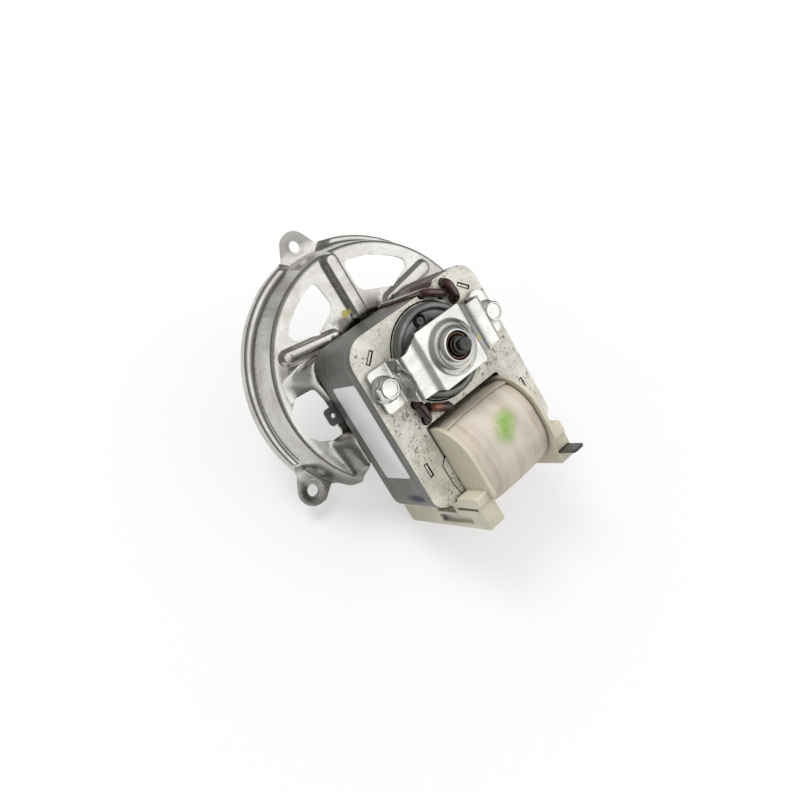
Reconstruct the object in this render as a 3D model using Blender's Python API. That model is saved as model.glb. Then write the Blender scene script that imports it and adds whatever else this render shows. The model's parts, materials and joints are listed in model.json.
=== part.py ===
"""Oven fan motor: a shaded-pole motor on a round pressed mounting plate.

The motor is built along its shaft. Its own axes are u (across), v (up) and w (along the shaft, from
the mounting plane towards the rear bearing). The empty motor_axis turns them into the part's frame:
+X is u, -Y is w and +Z is v, so the shaft lies level, the ears lie in the plane Y = 0, the fan end
of the shaft points along +Y and the coil hangs below.
"""
import math

import bmesh
import bpy
from mathutils import Matrix, Vector
from mathutils.geometry import delaunay_2d_cdt

MM = 0.001
GAP = 0.3 * MM                      # what touching pieces keep between them
OVERSHOOT = 1.0 * MM                # how far a cutter runs past what it cuts

# Mounting plate
SHEET = 1.2 * MM
RIM_RADIUS = 49.5 * MM
RIM_EDGE_HEIGHT = 1.6 * MM
RIM_FLANGE_HEIGHT = 5.0 * MM
RIM_FLANGE_WIDTH = 2.9 * MM
WALL_DRAFT = 2.6 * MM               # how far the wall leans in from foot to web
WEB_HEIGHT = 17.5 * MM              # motor side of the web above the mounting plane
WINDOW_MARGIN = 5.0 * MM            # web left between the upper windows and the wall
SIDE_WINDOW_MARGIN = 2.2 * MM
EAR_PITCH_RADIUS = 51.2 * MM
EAR_TIP_RADIUS = 5.7 * MM
EAR_HOLE_RADIUS = 2.25 * MM
EAR_ROOT_HALF_WIDTH = 8.6 * MM
EAR_ANGLES = (90.0, 210.0, 330.0)
HUB_RADIUS = 19.0 * MM              # where the hub starts to sink below the web
HUB_SLOPE = 3.2 * MM
RIB_START = 17.5 * MM               # the upright rib, above the shaft
RIB_HALF_WIDTH = 4.1 * MM
RIB_RISE = 2.8 * MM
SIDE_RIB_START = (13.5 * MM, 17.9 * MM)
SIDE_RIB_END = (32.5 * MM, 21.0 * MM)
SIDE_RIB_HALF_WIDTH = 2.7 * MM
SIDE_RIB_RISE = 2.2 * MM
PAD_OUTSIDE = 29.0 * MM             # the four raised pads that carry the stack
PAD_INSIDE = 20.6 * MM
PAD_FLANK = 2.6 * MM
SCREW_PAD = 2.9 * MM
CORNER_PAD_TOP = -13.0 * MM

# Stator
PAD_RISE = 5.7 * MM                 # front face of the stack above the plate's web
STACK_DEPTH = 26.0 * MM
STACK_HALF_WIDTH = 29.0 * MM
STACK_TOP = 17.9 * MM
STACK_SHOULDER = 19.4 * MM
STACK_CORNER = 8.4 * MM
STACK_BOTTOM = -44.4 * MM
LEG_WIDTH = 11.8 * MM
COIL_WINDOW_TOP = -18.7 * MM
BORE_RADIUS = 16.6 * MM
FLANGE_CLEARANCE = 0.7 * MM         # between the coil's flanges and the legs
SCREW_U = 24.0 * MM                 # both fixing screws lie on the shaft's level
HEAD_DEPTH = 2.1 * MM               # how far the coil core's ends reach into the legs
CORE_TOP = -30.4 * MM

# Coil
WALL = 1.4 * MM
FLANGE = 1.5 * MM
FLANGE_TOP = -20.0 * MM
COIL_REACH = 14.0 * MM              # flange beyond the stack's faces
COIL_TOP = -20.6 * MM
COIL_BOTTOM = -53.4 * MM
COIL_FACE = 12.6 * MM               # wrapped coil beyond the stack's faces
COIL_CROWN = 1.6 * MM
COIL_CORNER = 13.0 * MM
WRAP = 0.6 * MM
BLOCK_STEP = 5.0 * MM               # terminal blocks beyond the coil's flanges
BLOCK_TOP = -45.0 * MM
BLOCK_BOTTOM = -55.6 * MM
BLOCK_REAR = 11.0 * MM              # terminal block beyond the stack's rear face
BLOCK_FRONT = 12.0 * MM             # and beyond its front face
TAB_WIDTH = 4.8 * MM
TAB_THICK = 0.8 * MM
TAB_LENGTH = 8.0 * MM
TAB_TIP = 1.0 * MM                  # length of the chamfered tip
TAB_ROOT = 6.0 * MM                 # how far a tab reaches into its block
TAB_ROOT_THICK = 0.5 * MM

# Shading rings: polar places of the two bars of each ring, on the upper right pole
SHADING_BAR = 1.4 * MM
SHADING_LIFT = 1.0 * MM             # how far the bars stand off the stack's faces
SHADING_PLACES = (
    ((18.9 * MM, 70.5), (18.9 * MM, 47.5)),
    ((22.9 * MM, 46.5), (19.2 * MM, 32.5)),
)

# Bearings
SHAFT_RADIUS = 3.0 * MM
DOME_RADIUS = 7.7 * MM              # inside of both bearing domes
DOME_HOLE = 4.8 * MM
SEAT_DEPTH = 2.7 * MM               # bearing centre below the inner face round its dome
HOUSING_RISE = 10.5 * MM            # outer face round each dome, beyond the stack's faces
NECK_RADIUS = 4.4 * MM
NECK_LENGTH = 7.3 * MM
TAIL_LENGTH = 4.8 * MM
CUP_RADIUS = 9.3 * MM
CUP_SHEET = 0.4 * MM
THRUST_WASHER = 0.8 * MM

# Rear bridge
BRIDGE_SHEET = 1.5 * MM
BRIDGE_HALF_LENGTH = 26.8 * MM
BRIDGE_FOOT = 7.4 * MM              # half width at the feet
BRIDGE_HALF_WIDTH = 10.4 * MM       # and at the plateau round the dome
BRIDGE_PLATEAU = 9.4 * MM           # half length of the plateau
BRIDGE_SHOULDER = 17.9 * MM         # where the arms bend down to the feet
BRIDGE_SHOULDER_DROP = 1.7 * MM
BRIDGE_TOE = 18.4 * MM              # where the feet start

# Rotor
ROTOR_GAP = 0.5 * MM
BAR_COUNT = 12
BAR_RADIUS = 1.0 * MM
BAR_CIRCLE = 14.2 * MM
BAR_SKEW = 13.0                     # degrees from face to face
RING_HEIGHT = 3.4 * MM
RING_INSIDE = 9.6 * MM
PIP_CIRCLE = 11.6 * MM
PIP_RADIUS = 1.4 * MM
SHAFT_REAR = 18.1 * MM              # beyond the stack's rear face
SHAFT_FRONT = 28.0 * MM             # beyond the mounting plane, into the oven
FAN_SEAT = 14.0 * MM                # where the flats for the fan start
FLAT_DEPTH = 0.6 * MM
THREAD_LENGTH = 10.0 * MM

# Screws and earth tab
SCREW_RADIUS = 2.0 * MM
SCREW_HEX = 7.0 * MM                # across flats
SCREW_FLANGE = 4.75 * MM
SCREW_FLANGE_THICK = 1.3 * MM
SCREW_HEAD = 4.6 * MM
SCREW_TIP = 3.2 * MM                # beyond the plate's pad
EARTH_TAB_WIDTH = 6.3 * MM
EARTH_TAB_TIP = 33.9 * MM
EARTH_TAB_V = -3.1 * MM
EARTH_EYE = 4.2 * MM

# What follows from the sizes above
STACK_FRONT = WEB_HEIGHT + PAD_RISE
STACK_REAR = STACK_FRONT + STACK_DEPTH
STACK_MIDDLE = STACK_FRONT + STACK_DEPTH / 2
LEG_INSIDE = STACK_HALF_WIDTH - LEG_WIDTH
FLANGE_OUTSIDE = LEG_INSIDE - FLANGE_CLEARANCE
BLOCK_OUTSIDE = FLANGE_OUTSIDE + BLOCK_STEP
WALL_FOOT = RIM_RADIUS - RIM_FLANGE_WIDTH
WALL_HEAD = WALL_FOOT - WALL_DRAFT
WINDOW_RADIUS = WALL_HEAD - WINDOW_MARGIN
PAD_HEIGHT = STACK_FRONT - GAP
EARTH_PAD_HEIGHT = STACK_FRONT - 2 * GAP - TAB_THICK
HOLE_CLEARANCE = SCREW_RADIUS + GAP
REAR_FACE = STACK_REAR + HOUSING_RISE
FRONT_FACE = STACK_FRONT - HOUSING_RISE
REAR_SEAT = REAR_FACE - BRIDGE_SHEET - SEAT_DEPTH
FRONT_SEAT = FRONT_FACE + SHEET + SEAT_DEPTH
SHADING_HOLE = SHADING_BAR + 1.4 * GAP
ROTOR_RADIUS = BORE_RADIUS - ROTOR_GAP

MATERIALS = {
    "plate_steel": ((0.42, 0.40, 0.37), 0.32, 1.0),
    "lamination": ((0.44, 0.43, 0.40), 0.45, 0.9),
    "zinc_steel": ((0.62, 0.61, 0.58), 0.25, 1.0),
    "bobbin_plastic": ((0.80, 0.76, 0.64), 0.50, 0.0),
    "coil_tape": ((0.66, 0.58, 0.50), 0.75, 0.0),
    "copper_wire": ((0.60, 0.28, 0.12), 0.40, 1.0),
    "shading_copper": ((0.16, 0.05, 0.03), 0.35, 0.3),
    "sintered_bronze": ((0.36, 0.17, 0.08), 0.55, 0.8),
    "die_cast": ((0.34, 0.35, 0.36), 0.40, 1.0),
    "shaft_steel": ((0.20, 0.19, 0.19), 0.35, 1.0),
    "tab_steel": ((0.12, 0.12, 0.12), 0.40, 0.9),
    "felt": ((0.55, 0.50, 0.40), 0.95, 0.0),
    "fibre": ((0.30, 0.22, 0.14), 0.70, 0.0),
}


def material(name):
    """The Principled material of that name, made on first use."""
    if name in bpy.data.materials:
        return bpy.data.materials[name]
    colour, roughness, metallic = MATERIALS[name]
    made = bpy.data.materials.new(name)
    made.use_nodes = True
    shader = made.node_tree.nodes["Principled BSDF"]
    shader.inputs["Base Color"].default_value = (*colour, 1.0)
    shader.inputs["Roughness"].default_value = roughness
    shader.inputs["Metallic"].default_value = metallic
    made.diffuse_color = (*colour, 1.0)
    return made


def empty(name):
    """An empty whose turn takes u, v, w to the part's +X, +Z, -Y."""
    made = bpy.data.objects.new(name, None)
    made.rotation_euler = (math.radians(90.0), 0.0, 0.0)
    bpy.context.collection.objects.link(made)
    return made


def add_object(name, bm, finish, parent, smooth=35.0):
    """Turn a bmesh into a named object under parent, with outward faces."""
    bmesh.ops.recalc_face_normals(bm, faces=bm.faces[:])
    if bm.calc_volume(signed=True) < 0.0:
        bmesh.ops.reverse_faces(bm, faces=bm.faces[:])
    mesh = bpy.data.meshes.new(name)
    bm.to_mesh(mesh)
    bm.free()
    made = bpy.data.objects.new(name, mesh)
    bpy.context.collection.objects.link(made)
    made.parent = parent
    mesh.materials.append(material(finish))
    mesh.shade_smooth()
    mesh.set_sharp_from_angle(angle=math.radians(smooth))
    return made


def boolean(target, cutter, operation):
    """Add an exact Boolean, and keep its operand as a hidden wire guide."""
    cutter.hide_render = True
    cutter.display_type = "WIRE"
    step = target.modifiers.new(operation.lower(), "BOOLEAN")
    step.operation = operation
    step.solver = "EXACT"
    step.object = cutter


# Plane outlines

def polar(radius, degrees, centre=(0.0, 0.0)):
    turn = math.radians(degrees)
    return (centre[0] + radius * math.cos(turn), centre[1] + radius * math.sin(turn))


def circle(radius, count, centre=(0.0, 0.0), start=0.0):
    return [polar(radius, start + 360.0 * i / count, centre) for i in range(count)]


def arc(centre, radius, start, end, steps):
    return [polar(radius, start + (end - start) * i / steps, centre) for i in range(steps + 1)]


def fillet(before, corner, after, radius, steps):
    """Points of the arc that rounds one corner, limited by its two sides."""
    corner = Vector(corner)
    back = Vector(before) - corner
    ahead = Vector(after) - corner
    if radius <= 0.0 or back.length < 1e-9 or ahead.length < 1e-9:
        return [tuple(corner)]
    half = back.angle(ahead) / 2
    if half > math.radians(89.0):
        return [tuple(corner)]
    reach = min(radius / math.tan(half), 0.48 * back.length, 0.48 * ahead.length)
    start = corner + back.normalized() * reach
    end = corner + ahead.normalized() * reach
    centre = corner + (back.normalized() + ahead.normalized()).normalized() * (reach / math.cos(half))
    first = math.atan2(*reversed(start - centre))
    sweep = math.atan2(*reversed(end - centre)) - first
    sweep = (sweep + math.pi) % (2 * math.pi) - math.pi
    size = (start - centre).length
    return [
        (centre.x + size * math.cos(first + sweep * i / steps),
         centre.y + size * math.sin(first + sweep * i / steps))
        for i in range(steps + 1)
    ]


def rounded(corners, radii, steps=4):
    """A closed outline with its corners rounded. radii is one value or one for each corner."""
    if not isinstance(radii, (list, tuple)):
        radii = [radii] * len(corners)
    points = []
    for i, corner in enumerate(corners):
        points += fillet(corners[i - 1], corner, corners[(i + 1) % len(corners)], radii[i], steps)
    return points


def rounded_open(corners, radii, steps=3):
    """An open line with its inner corners rounded."""
    points = [tuple(corners[0])]
    for i in range(1, len(corners) - 1):
        points += fillet(corners[i - 1], corners[i], corners[i + 1], radii[i], steps)
    return points + [tuple(corners[-1])]


def shift_line(corners, distance):
    """The corners of an open line, each moved to the line's left by distance."""
    moved = []
    for i, corner in enumerate(corners):
        here = Vector(corner)
        before = (here - Vector(corners[i - 1])).normalized() if i else None
        after = (Vector(corners[i + 1]) - here).normalized() if i + 1 < len(corners) else None
        before = before or after
        after = after or before
        left = Vector((-before.y - after.y, before.x + after.x)).normalized()
        scale = distance / left.dot(Vector((-before.y, before.x)))
        moved.append(tuple(here + left * scale))
    return moved


def sheet_section(corners, radii, thickness, steps=3):
    """The closed section of a bent sheet: the given line, and its copy to the left at thickness."""
    far = shift_line(corners, thickness)
    far_radii = list(radii)
    for i in range(1, len(corners) - 1):
        before = Vector(corners[i]) - Vector(corners[i - 1])
        after = Vector(corners[i + 1]) - Vector(corners[i])
        turns_left = before.x * after.y - before.y * after.x > 0.0
        far_radii[i] = max(radii[i] - thickness, 0.0) if turns_left else radii[i] + thickness
    near_side = rounded_open(corners, radii, steps)
    return near_side + list(reversed(rounded_open(far, far_radii, steps)))


def rectangle(left, right, bottom, top):
    return [(left, bottom), (right, bottom), (right, top), (left, top)]


def mirrored(points):
    """The outline mirrored in u = 0, in the same turning sense."""
    return [(-x, y) for x, y in reversed(points)]


def inside(point, outline):
    """Whether a point of the plane lies inside a closed outline."""
    x, y = point
    odd = False
    for i, (x1, y1) in enumerate(outline):
        x0, y0 = outline[i - 1]
        if (y1 > y) != (y0 > y) and x < (x0 - x1) * (y - y1) / (y0 - y1) + x1:
            odd = not odd
    return odd


# Solids from outlines

def prism_mesh(outline, holes, low, high, levels=1, twist=0.0):
    """A straight or twisted prism between two heights, with holes through it."""
    bm = bmesh.new()
    loops = []
    for points in [outline, *holes]:
        ring = [bm.verts.new((x, y, low)) for x, y in points]
        loops += [bm.edges.new((ring[i - 1], ring[i])) for i in range(len(ring))]
    bmesh.ops.triangle_fill(bm, edges=loops, use_beauty=True, use_dissolve=False)
    base = bm.faces[:]
    copy = bmesh.ops.duplicate(bm, geom=base)
    top_verts = [g for g in copy["geom"] if isinstance(g, bmesh.types.BMVert)]
    bmesh.ops.translate(bm, verts=top_verts, vec=(0.0, 0.0, high - low))
    bmesh.ops.bridge_loops(bm, edges=[e for e in bm.edges if e.is_boundary]) if not holes else \
        stitch(bm, loops, copy["edge_map"])
    if levels > 1:
        upright = [e for e in bm.edges if abs(e.verts[0].co.z - e.verts[1].co.z) > (high - low) / 2]
        bmesh.ops.subdivide_edges(bm, edges=upright, cuts=levels - 1)
    if twist:
        for vert in bm.verts:
            share = (vert.co.z - low) / (high - low) - 0.5
            vert.co = Matrix.Rotation(math.radians(twist * share), 4, "Z") @ vert.co
    return bm


def stitch(bm, edges, partner):
    """Close the side walls between a flat region's border edges and their copies."""
    for edge in edges:
        first, second = edge.verts
        twin = partner[edge]
        match = {}
        for vert in twin.verts:
            near = min((first, second), key=lambda v: (v.co.xy - vert.co.xy).length)
            match[near] = vert
        bm.faces.new((first, second, match[second], match[first]))


def prism(name, outline, low, high, finish, parent, holes=(), levels=1, twist=0.0, smooth=35.0):
    bm = prism_mesh(outline, list(holes), low, high, levels, twist)
    return add_object(name, bm, finish, parent, smooth)


def cross_prism(name, outline, low, high, finish, parent):
    """A prism along u. Its outline is given in v and w."""
    bm = prism_mesh(outline, [], low, high)
    for vert in bm.verts:
        vert.co = Vector((vert.co.z, vert.co.x, vert.co.y))
    return add_object(name, bm, finish, parent)


def turned(name, profile, finish, parent, count=32, smooth=35.0):
    """A closed profile of (radius, w) points, spun round the shaft's axis."""
    bm = bmesh.new()
    ring = [bm.verts.new((radius, 0.0, w)) for radius, w in profile]
    edges = []
    for i in range(len(ring)):
        on_axis = ring[i - 1].co.x < 1e-9 and ring[i].co.x < 1e-9
        if not on_axis:
            edges.append(bm.edges.new((ring[i - 1], ring[i])))
    bmesh.ops.spin(
        bm, geom=ring + edges, cent=(0.0, 0.0, 0.0), axis=(0.0, 0.0, 1.0),
        angle=math.tau, steps=count, use_merge=True)
    bmesh.ops.remove_doubles(bm, verts=bm.verts[:], dist=1e-6)
    return add_object(name, bm, finish, parent, smooth)


def loft(name, sections, finish, parent, closed=False, smooth=35.0):
    """A skin over sections of equal point count, capped at both ends unless it is closed."""
    bm = bmesh.new()
    rings = [[bm.verts.new(point) for point in section] for section in sections]
    count = len(rings[0])
    last = len(rings) if closed else len(rings) - 1
    for k in range(last):
        low, high = rings[k], rings[(k + 1) % len(rings)]
        for i in range(count):
            bm.faces.new((low[i - 1], low[i], high[i], high[i - 1]))
    if not closed:
        bm.faces.new(rings[0])
        bm.faces.new(rings[-1])
    return add_object(name, bm, finish, parent, smooth)


# The mounting plate: a flat blank, pressed to its heights, then given its thickness

def ease(share):
    """A smooth step from 0 to 1."""
    share = min(max(share, 0.0), 1.0)
    return share * share * (3.0 - 2.0 * share)


def plate_profile():
    """Motor side of the round dish, as (radius, w) corners with their fillets, from rim to hub."""
    hub_face = FRONT_FACE + SHEET
    corners = [
        (RIM_RADIUS, RIM_EDGE_HEIGHT),
        (RIM_RADIUS - 0.5 * MM, RIM_FLANGE_HEIGHT),
        (WALL_FOOT, RIM_FLANGE_HEIGHT),
        (WALL_HEAD, WEB_HEIGHT),
        (HUB_RADIUS, WEB_HEIGHT),
        (HUB_RADIUS - HUB_SLOPE, hub_face),
        (DOME_RADIUS * 0.93, hub_face),
        (DOME_RADIUS * 0.93 - 0.3 * MM, hub_face - 0.6 * MM),
    ]
    radii = [0.0, 2.0 * MM, 1.4 * MM, 2.0 * MM, 2.5 * MM, 2.0 * MM, 1.2 * MM, 0.0]
    line = rounded_open(corners, radii, 1)
    dome = [(DOME_HOLE + (DOME_RADIUS * 0.9 - DOME_HOLE) * share) for share in (0.6, 0.0)]
    line += [(r, FRONT_SEAT - math.sqrt(DOME_RADIUS ** 2 - r * r)) for r in dome]
    return line


def dish_height(line, radius):
    """Height of the round dish at a radius, along the profile line."""
    if radius >= line[0][0]:
        return line[0][1]
    for (outer, high), (inner, low) in zip(line, line[1:]):
        if radius >= inner:
            return high + (low - high) * (outer - radius) / (outer - inner)
    return line[-1][1]


def ear_outline(angle):
    """The blank's outline round one ear: a round tip, with flanks that spread into the rim."""
    centre = polar(EAR_PITCH_RADIUS, angle)
    root = RIM_RADIUS - 4.5 * MM
    spread = math.degrees(EAR_ROOT_HALF_WIDTH / root)
    tip = arc(centre, EAR_TIP_RADIUS, angle - 62.0, angle + 62.0, 10)
    foot = [polar(root + 2.6 * MM, angle + spread), polar(root, angle + spread * 0.5)]
    other = [polar(root, angle - spread * 0.5), polar(root + 2.6 * MM, angle - spread)]
    return tip + foot + other


def ear_blend(angle, share):
    """The outline inside which an ear's dip has come down by the given share."""
    grow = 1.0 - share
    spread = math.degrees((EAR_ROOT_HALF_WIDTH + 2.6 * MM * grow) / RIM_RADIUS)
    inner = WALL_FOOT - 0.9 * MM * grow
    outer = EAR_PITCH_RADIUS + EAR_TIP_RADIUS + 2.0 * MM
    steps = 4
    near = [polar(inner, angle - spread * 0.8 + 1.6 * spread * i / steps) for i in range(steps + 1)]
    return near + [polar(RIM_RADIUS, angle + spread), polar(outer, angle + spread),
                   polar(outer, angle - spread), polar(RIM_RADIUS, angle - spread)]


def blended(low_outline, high_outline, share):
    """Between two outlines of equal point count."""
    return [
        (a[0] + (b[0] - a[0]) * share, a[1] + (b[1] - a[1]) * share)
        for a, b in zip(low_outline, high_outline)
    ]


def capsule(start, end, half_width):
    """A slot-shaped outline round a line."""
    heading = math.degrees(math.atan2(end[1] - start[1], end[0] - start[0]))
    return (arc(start, half_width, heading + 90.0, heading + 270.0, 4)
            + arc(end, half_width, heading - 90.0, heading + 90.0, 4))


def plate_pressings():
    """Every raised form of the web: foot outline, top outline and height above the web."""
    forms = []
    land = WALL_HEAD - PAD_OUTSIDE
    ribs = [((0.0, RIB_START), (0.0, WINDOW_RADIUS - 1.0 * MM), RIB_HALF_WIDTH, RIB_RISE)]
    for side in (1, -1):
        ribs.append(((side * SIDE_RIB_START[0], SIDE_RIB_START[1]),
                     (side * SIDE_RIB_END[0], SIDE_RIB_END[1]), SIDE_RIB_HALF_WIDTH, SIDE_RIB_RISE))
    for start, end, half_width, rise in ribs:
        forms.append((capsule(start, end, half_width), capsule(start, end, 0.3 * half_width), rise))
    left, right = -PAD_OUTSIDE, -PAD_INSIDE
    screw_top = [
        (left, 15.0 * MM), (left, 9.8 * MM), (-SCREW_U - SCREW_PAD, -SCREW_PAD - 2.6 * MM),
        (right, -SCREW_PAD - 2.6 * MM), (right, 15.0 * MM),
    ]
    screw_foot = [
        (left - 0.68 * land, 15.6 * MM), (left - 0.71 * land, 8.6 * MM),
        (-SCREW_U - SCREW_PAD - PAD_FLANK, -SCREW_PAD - 2.6 * MM - PAD_FLANK),
        (right + PAD_FLANK, -SCREW_PAD - 2.6 * MM - PAD_FLANK), (right + PAD_FLANK, 15.0 * MM + PAD_FLANK),
    ]
    corner_top = [
        (left, CORNER_PAD_TOP), (left, CORNER_PAD_TOP - 14.0 * MM),
        (right + 0.6 * MM, CORNER_PAD_TOP - 14.0 * MM), (right + 0.6 * MM, CORNER_PAD_TOP),
    ]
    corner_foot = [
        (left - 0.52 * land, CORNER_PAD_TOP + PAD_FLANK), (left - 0.35 * land, CORNER_PAD_TOP - 15.6 * MM),
        (right + 0.6 * MM + PAD_FLANK, CORNER_PAD_TOP - 16.4 * MM),
        (right + 0.6 * MM + PAD_FLANK, CORNER_PAD_TOP + PAD_FLANK),
    ]
    for foot, top, rise, mirrored_rise in (
            (screw_foot, screw_top, EARTH_PAD_HEIGHT - WEB_HEIGHT, PAD_HEIGHT - WEB_HEIGHT),
            (corner_foot, corner_top, PAD_HEIGHT - WEB_HEIGHT, PAD_HEIGHT - WEB_HEIGHT)):
        low = rounded(foot, 2.4 * MM, 3)
        high = rounded(top, 1.6 * MM, 3)
        forms.append((low, high, rise))
        forms.append((mirrored(low), mirrored(high), mirrored_rise))
    return forms


def plate_windows():
    """Every opening of the plate: windows, screw, ear and shaft holes, and the gap for the coil."""
    reach = WINDOW_RADIUS
    upper = (
        [polar(reach, angle) for angle in (75.5, 67.0, 58.5, 50.5, 44.5)]
        + [(0.69 * reach, 0.626 * reach), (0.451 * reach, 0.549 * reach), (0.215 * reach, 0.682 * reach)]
    )
    upper_radii = [3.5 * MM, 0.0, 0.0, 0.0, 2.0 * MM, 1.5 * MM, 1.0 * MM, 5.0 * MM]
    side_reach = WALL_HEAD - SIDE_WINDOW_MARGIN
    land = side_reach - PAD_OUTSIDE
    side = [polar(side_reach, angle) for angle in (-7.0, 0.0, 7.0)]
    for share, v in ((0.67, 8.2), (0.20, 8.0), (0.11, 3.0), (0.05, -6.0), (0.0, -11.2), (0.39, -11.2), (0.70, -9.0)):
        side.append((PAD_OUTSIDE + share * land, v * MM))
    side_radii = [1.5 * MM, 0.0, 1.5 * MM, 1.5 * MM, 1.5 * MM, 0.0, 0.0, 1.5 * MM, 1.0 * MM, 1.0 * MM]
    openings = []
    for corners, radii in ((upper, upper_radii), (side, side_radii)):
        outline = rounded(corners, radii, 3)
        openings += [outline, mirrored(outline)]
    openings.append(circle(DOME_HOLE, 20))
    openings += [circle(HOLE_CLEARANCE, 12, (side * SCREW_U, 0.0)) for side in (1, -1)]
    openings += [circle(EAR_HOLE_RADIUS, 14, polar(EAR_PITCH_RADIUS, a)) for a in EAR_ANGLES]
    far = RIM_RADIUS + 20.0 * MM
    clear = FLANGE_OUTSIDE + 1.3 * MM
    half = [
        (clear, COIL_WINDOW_TOP + 1.0 * MM), (clear, -23.6 * MM), (28.6 * MM, -23.6 * MM),
        (33.4 * MM, -31.0 * MM), polar(WALL_FOOT - 0.6 * MM, -41.0), polar(WALL_FOOT - 0.6 * MM, -36.6),
        polar(far, -36.6), (clear, -far),
    ]
    corners = half + [(-x, y) for x, y in reversed(half)]
    radii = [2.0 * MM, 2.0 * MM, 2.5 * MM, 1.0 * MM, 0.0, 0.0, 0.0, 0.0]
    openings.append(rounded(corners, radii + list(reversed(radii)), 2))
    return openings


def build_plate(parent):
    line = plate_profile()
    forms = plate_pressings()
    openings = plate_windows()
    ears = [ear_outline(angle) for angle in EAR_ANGLES]
    contours = [*openings, *ears]
    for radius, _ in line:
        count = 60 if radius > WINDOW_RADIUS else 32 if radius > DOME_RADIUS else 20
        contours.append(circle(radius, count))
    for low, high, _ in forms:
        contours += [blended(low, high, share) for share in (0.0, 0.3, 0.7, 1.0)]
    for angle in EAR_ANGLES:
        contours += [ear_blend(angle, share) for share in (0.0, 0.5, 1.0)]

    points, edges = [], []
    for contour in contours:
        first = len(points)
        points += [Vector((x / MM, y / MM)) for x, y in contour]
        edges += [(first + i, first + (i + 1) % len(contour)) for i in range(len(contour))]
    verts, _, faces, *_ = delaunay_2d_cdt(points, edges, [], 0, 0.02)

    def kept(point):
        on_blank = math.hypot(*point) < RIM_RADIUS * 0.9995 or any(inside(point, e) for e in ears)
        return on_blank and not any(inside(point, hole) for hole in openings)

    def share_of(point, low, high):
        """How far up the flank between two outlines a point lies, from 0 at the foot to 1."""
        if not inside(point, low):
            return 0.0
        bottom, top = 0.0, 1.0
        if inside(point, high):
            return 1.0
        for _ in range(12):
            middle = (bottom + top) / 2
            if inside(point, blended(low, high, middle)):
                bottom = middle
            else:
                top = middle
        return (bottom + top) / 2

    dips = [(ear_blend(angle, 0.0), ear_blend(angle, 1.0)) for angle in EAR_ANGLES]

    def height(point):
        radius = math.hypot(*point)
        value = dish_height(line, radius)
        value += max([rise * ease(share_of(point, low, high)) for low, high, rise in forms] + [0.0])
        for low, high in dips:
            drop = ease(share_of(point, low, high))
            value += (SHEET - value) * drop
        return value

    bm = bmesh.new()
    flat = [Vector((v.x * MM, v.y * MM)) for v in verts]
    made = {}
    for face in faces:
        centre = sum((flat[i] for i in face), Vector((0.0, 0.0))) / len(face)
        if not kept(tuple(centre)):
            continue
        for i in face:
            if i not in made:
                made[i] = bm.verts.new((flat[i].x, flat[i].y, height(tuple(flat[i]))))
        bm.faces.new([made[i] for i in face])
    plate = add_object("mounting_plate", bm, "plate_steel", parent, 50.0)
    if plate.data.polygons[0].normal.z < 0.0:
        plate.data.flip_normals()
    pressed = plate.modifiers.new("sheet", "SOLIDIFY")
    pressed.thickness = SHEET
    pressed.offset = -1.0
    pressed.use_even_offset = True
    pressed.use_rim = True
    return plate


# Stator, coil and shading rings

def stack_outline():
    """The U-shaped lamination, with its corner rounds, ring notches and sockets for the coil core."""
    half = STACK_HALF_WIDTH
    ring_u, ring_v = polar(*SHADING_PLACES[0][0])
    socket = LEG_INSIDE + HEAD_DEPTH
    top_notch = [(ring_u - SHADING_HOLE, STACK_TOP), (ring_u + SHADING_HOLE, STACK_TOP)]
    top_notch[1:1] = arc((ring_u, ring_v), SHADING_HOLE, 180.0, 360.0, 6)
    low_notch = [(SHADING_HOLE - ring_u, COIL_WINDOW_TOP), (-SHADING_HOLE - ring_u, COIL_WINDOW_TOP)]
    low_notch[1:1] = arc((-ring_u, -ring_v), SHADING_HOLE, 0.0, 180.0, 6)
    corners = [((-half, STACK_TOP), STACK_CORNER)]
    corners += [(point, 0.0) for point in top_notch]
    corners += [
        ((11.2 * MM, STACK_TOP), 0.0), ((12.6 * MM, STACK_SHOULDER), 0.0),
        ((half, STACK_SHOULDER), STACK_CORNER),
        ((half, STACK_BOTTOM), 9.0 * MM),
        ((socket - 1.0 * MM, STACK_BOTTOM), 0.0),
        ((socket, STACK_BOTTOM + 4.7 * MM), 1.5 * MM),
        ((socket, CORE_TOP - 1.8 * MM), 1.5 * MM),
        ((LEG_INSIDE, CORE_TOP), 0.0),
        ((LEG_INSIDE, COIL_WINDOW_TOP), 1.0 * MM),
    ]
    corners += [(point, 0.0) for point in low_notch]
    corners += [
        ((-LEG_INSIDE, COIL_WINDOW_TOP), 1.0 * MM),
        ((-LEG_INSIDE, CORE_TOP), 0.0),
        ((-socket, CORE_TOP - 1.8 * MM), 1.5 * MM),
        ((-socket, STACK_BOTTOM + 4.7 * MM), 1.5 * MM),
        ((-socket + 1.0 * MM, STACK_BOTTOM), 0.0),
        ((-half, STACK_BOTTOM), 9.0 * MM),
    ]
    return rounded([c for c, _ in corners], [r for _, r in corners], 5)


def ring_places():
    """The four rings as pairs of bar places: two on the upper right pole, two turned by half a turn."""
    pairs = []
    for pole in (0.0, 180.0):
        for first, second in SHADING_PLACES:
            pairs.append((polar(first[0], first[1] + pole), polar(second[0], second[1] + pole)))
    return pairs


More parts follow.
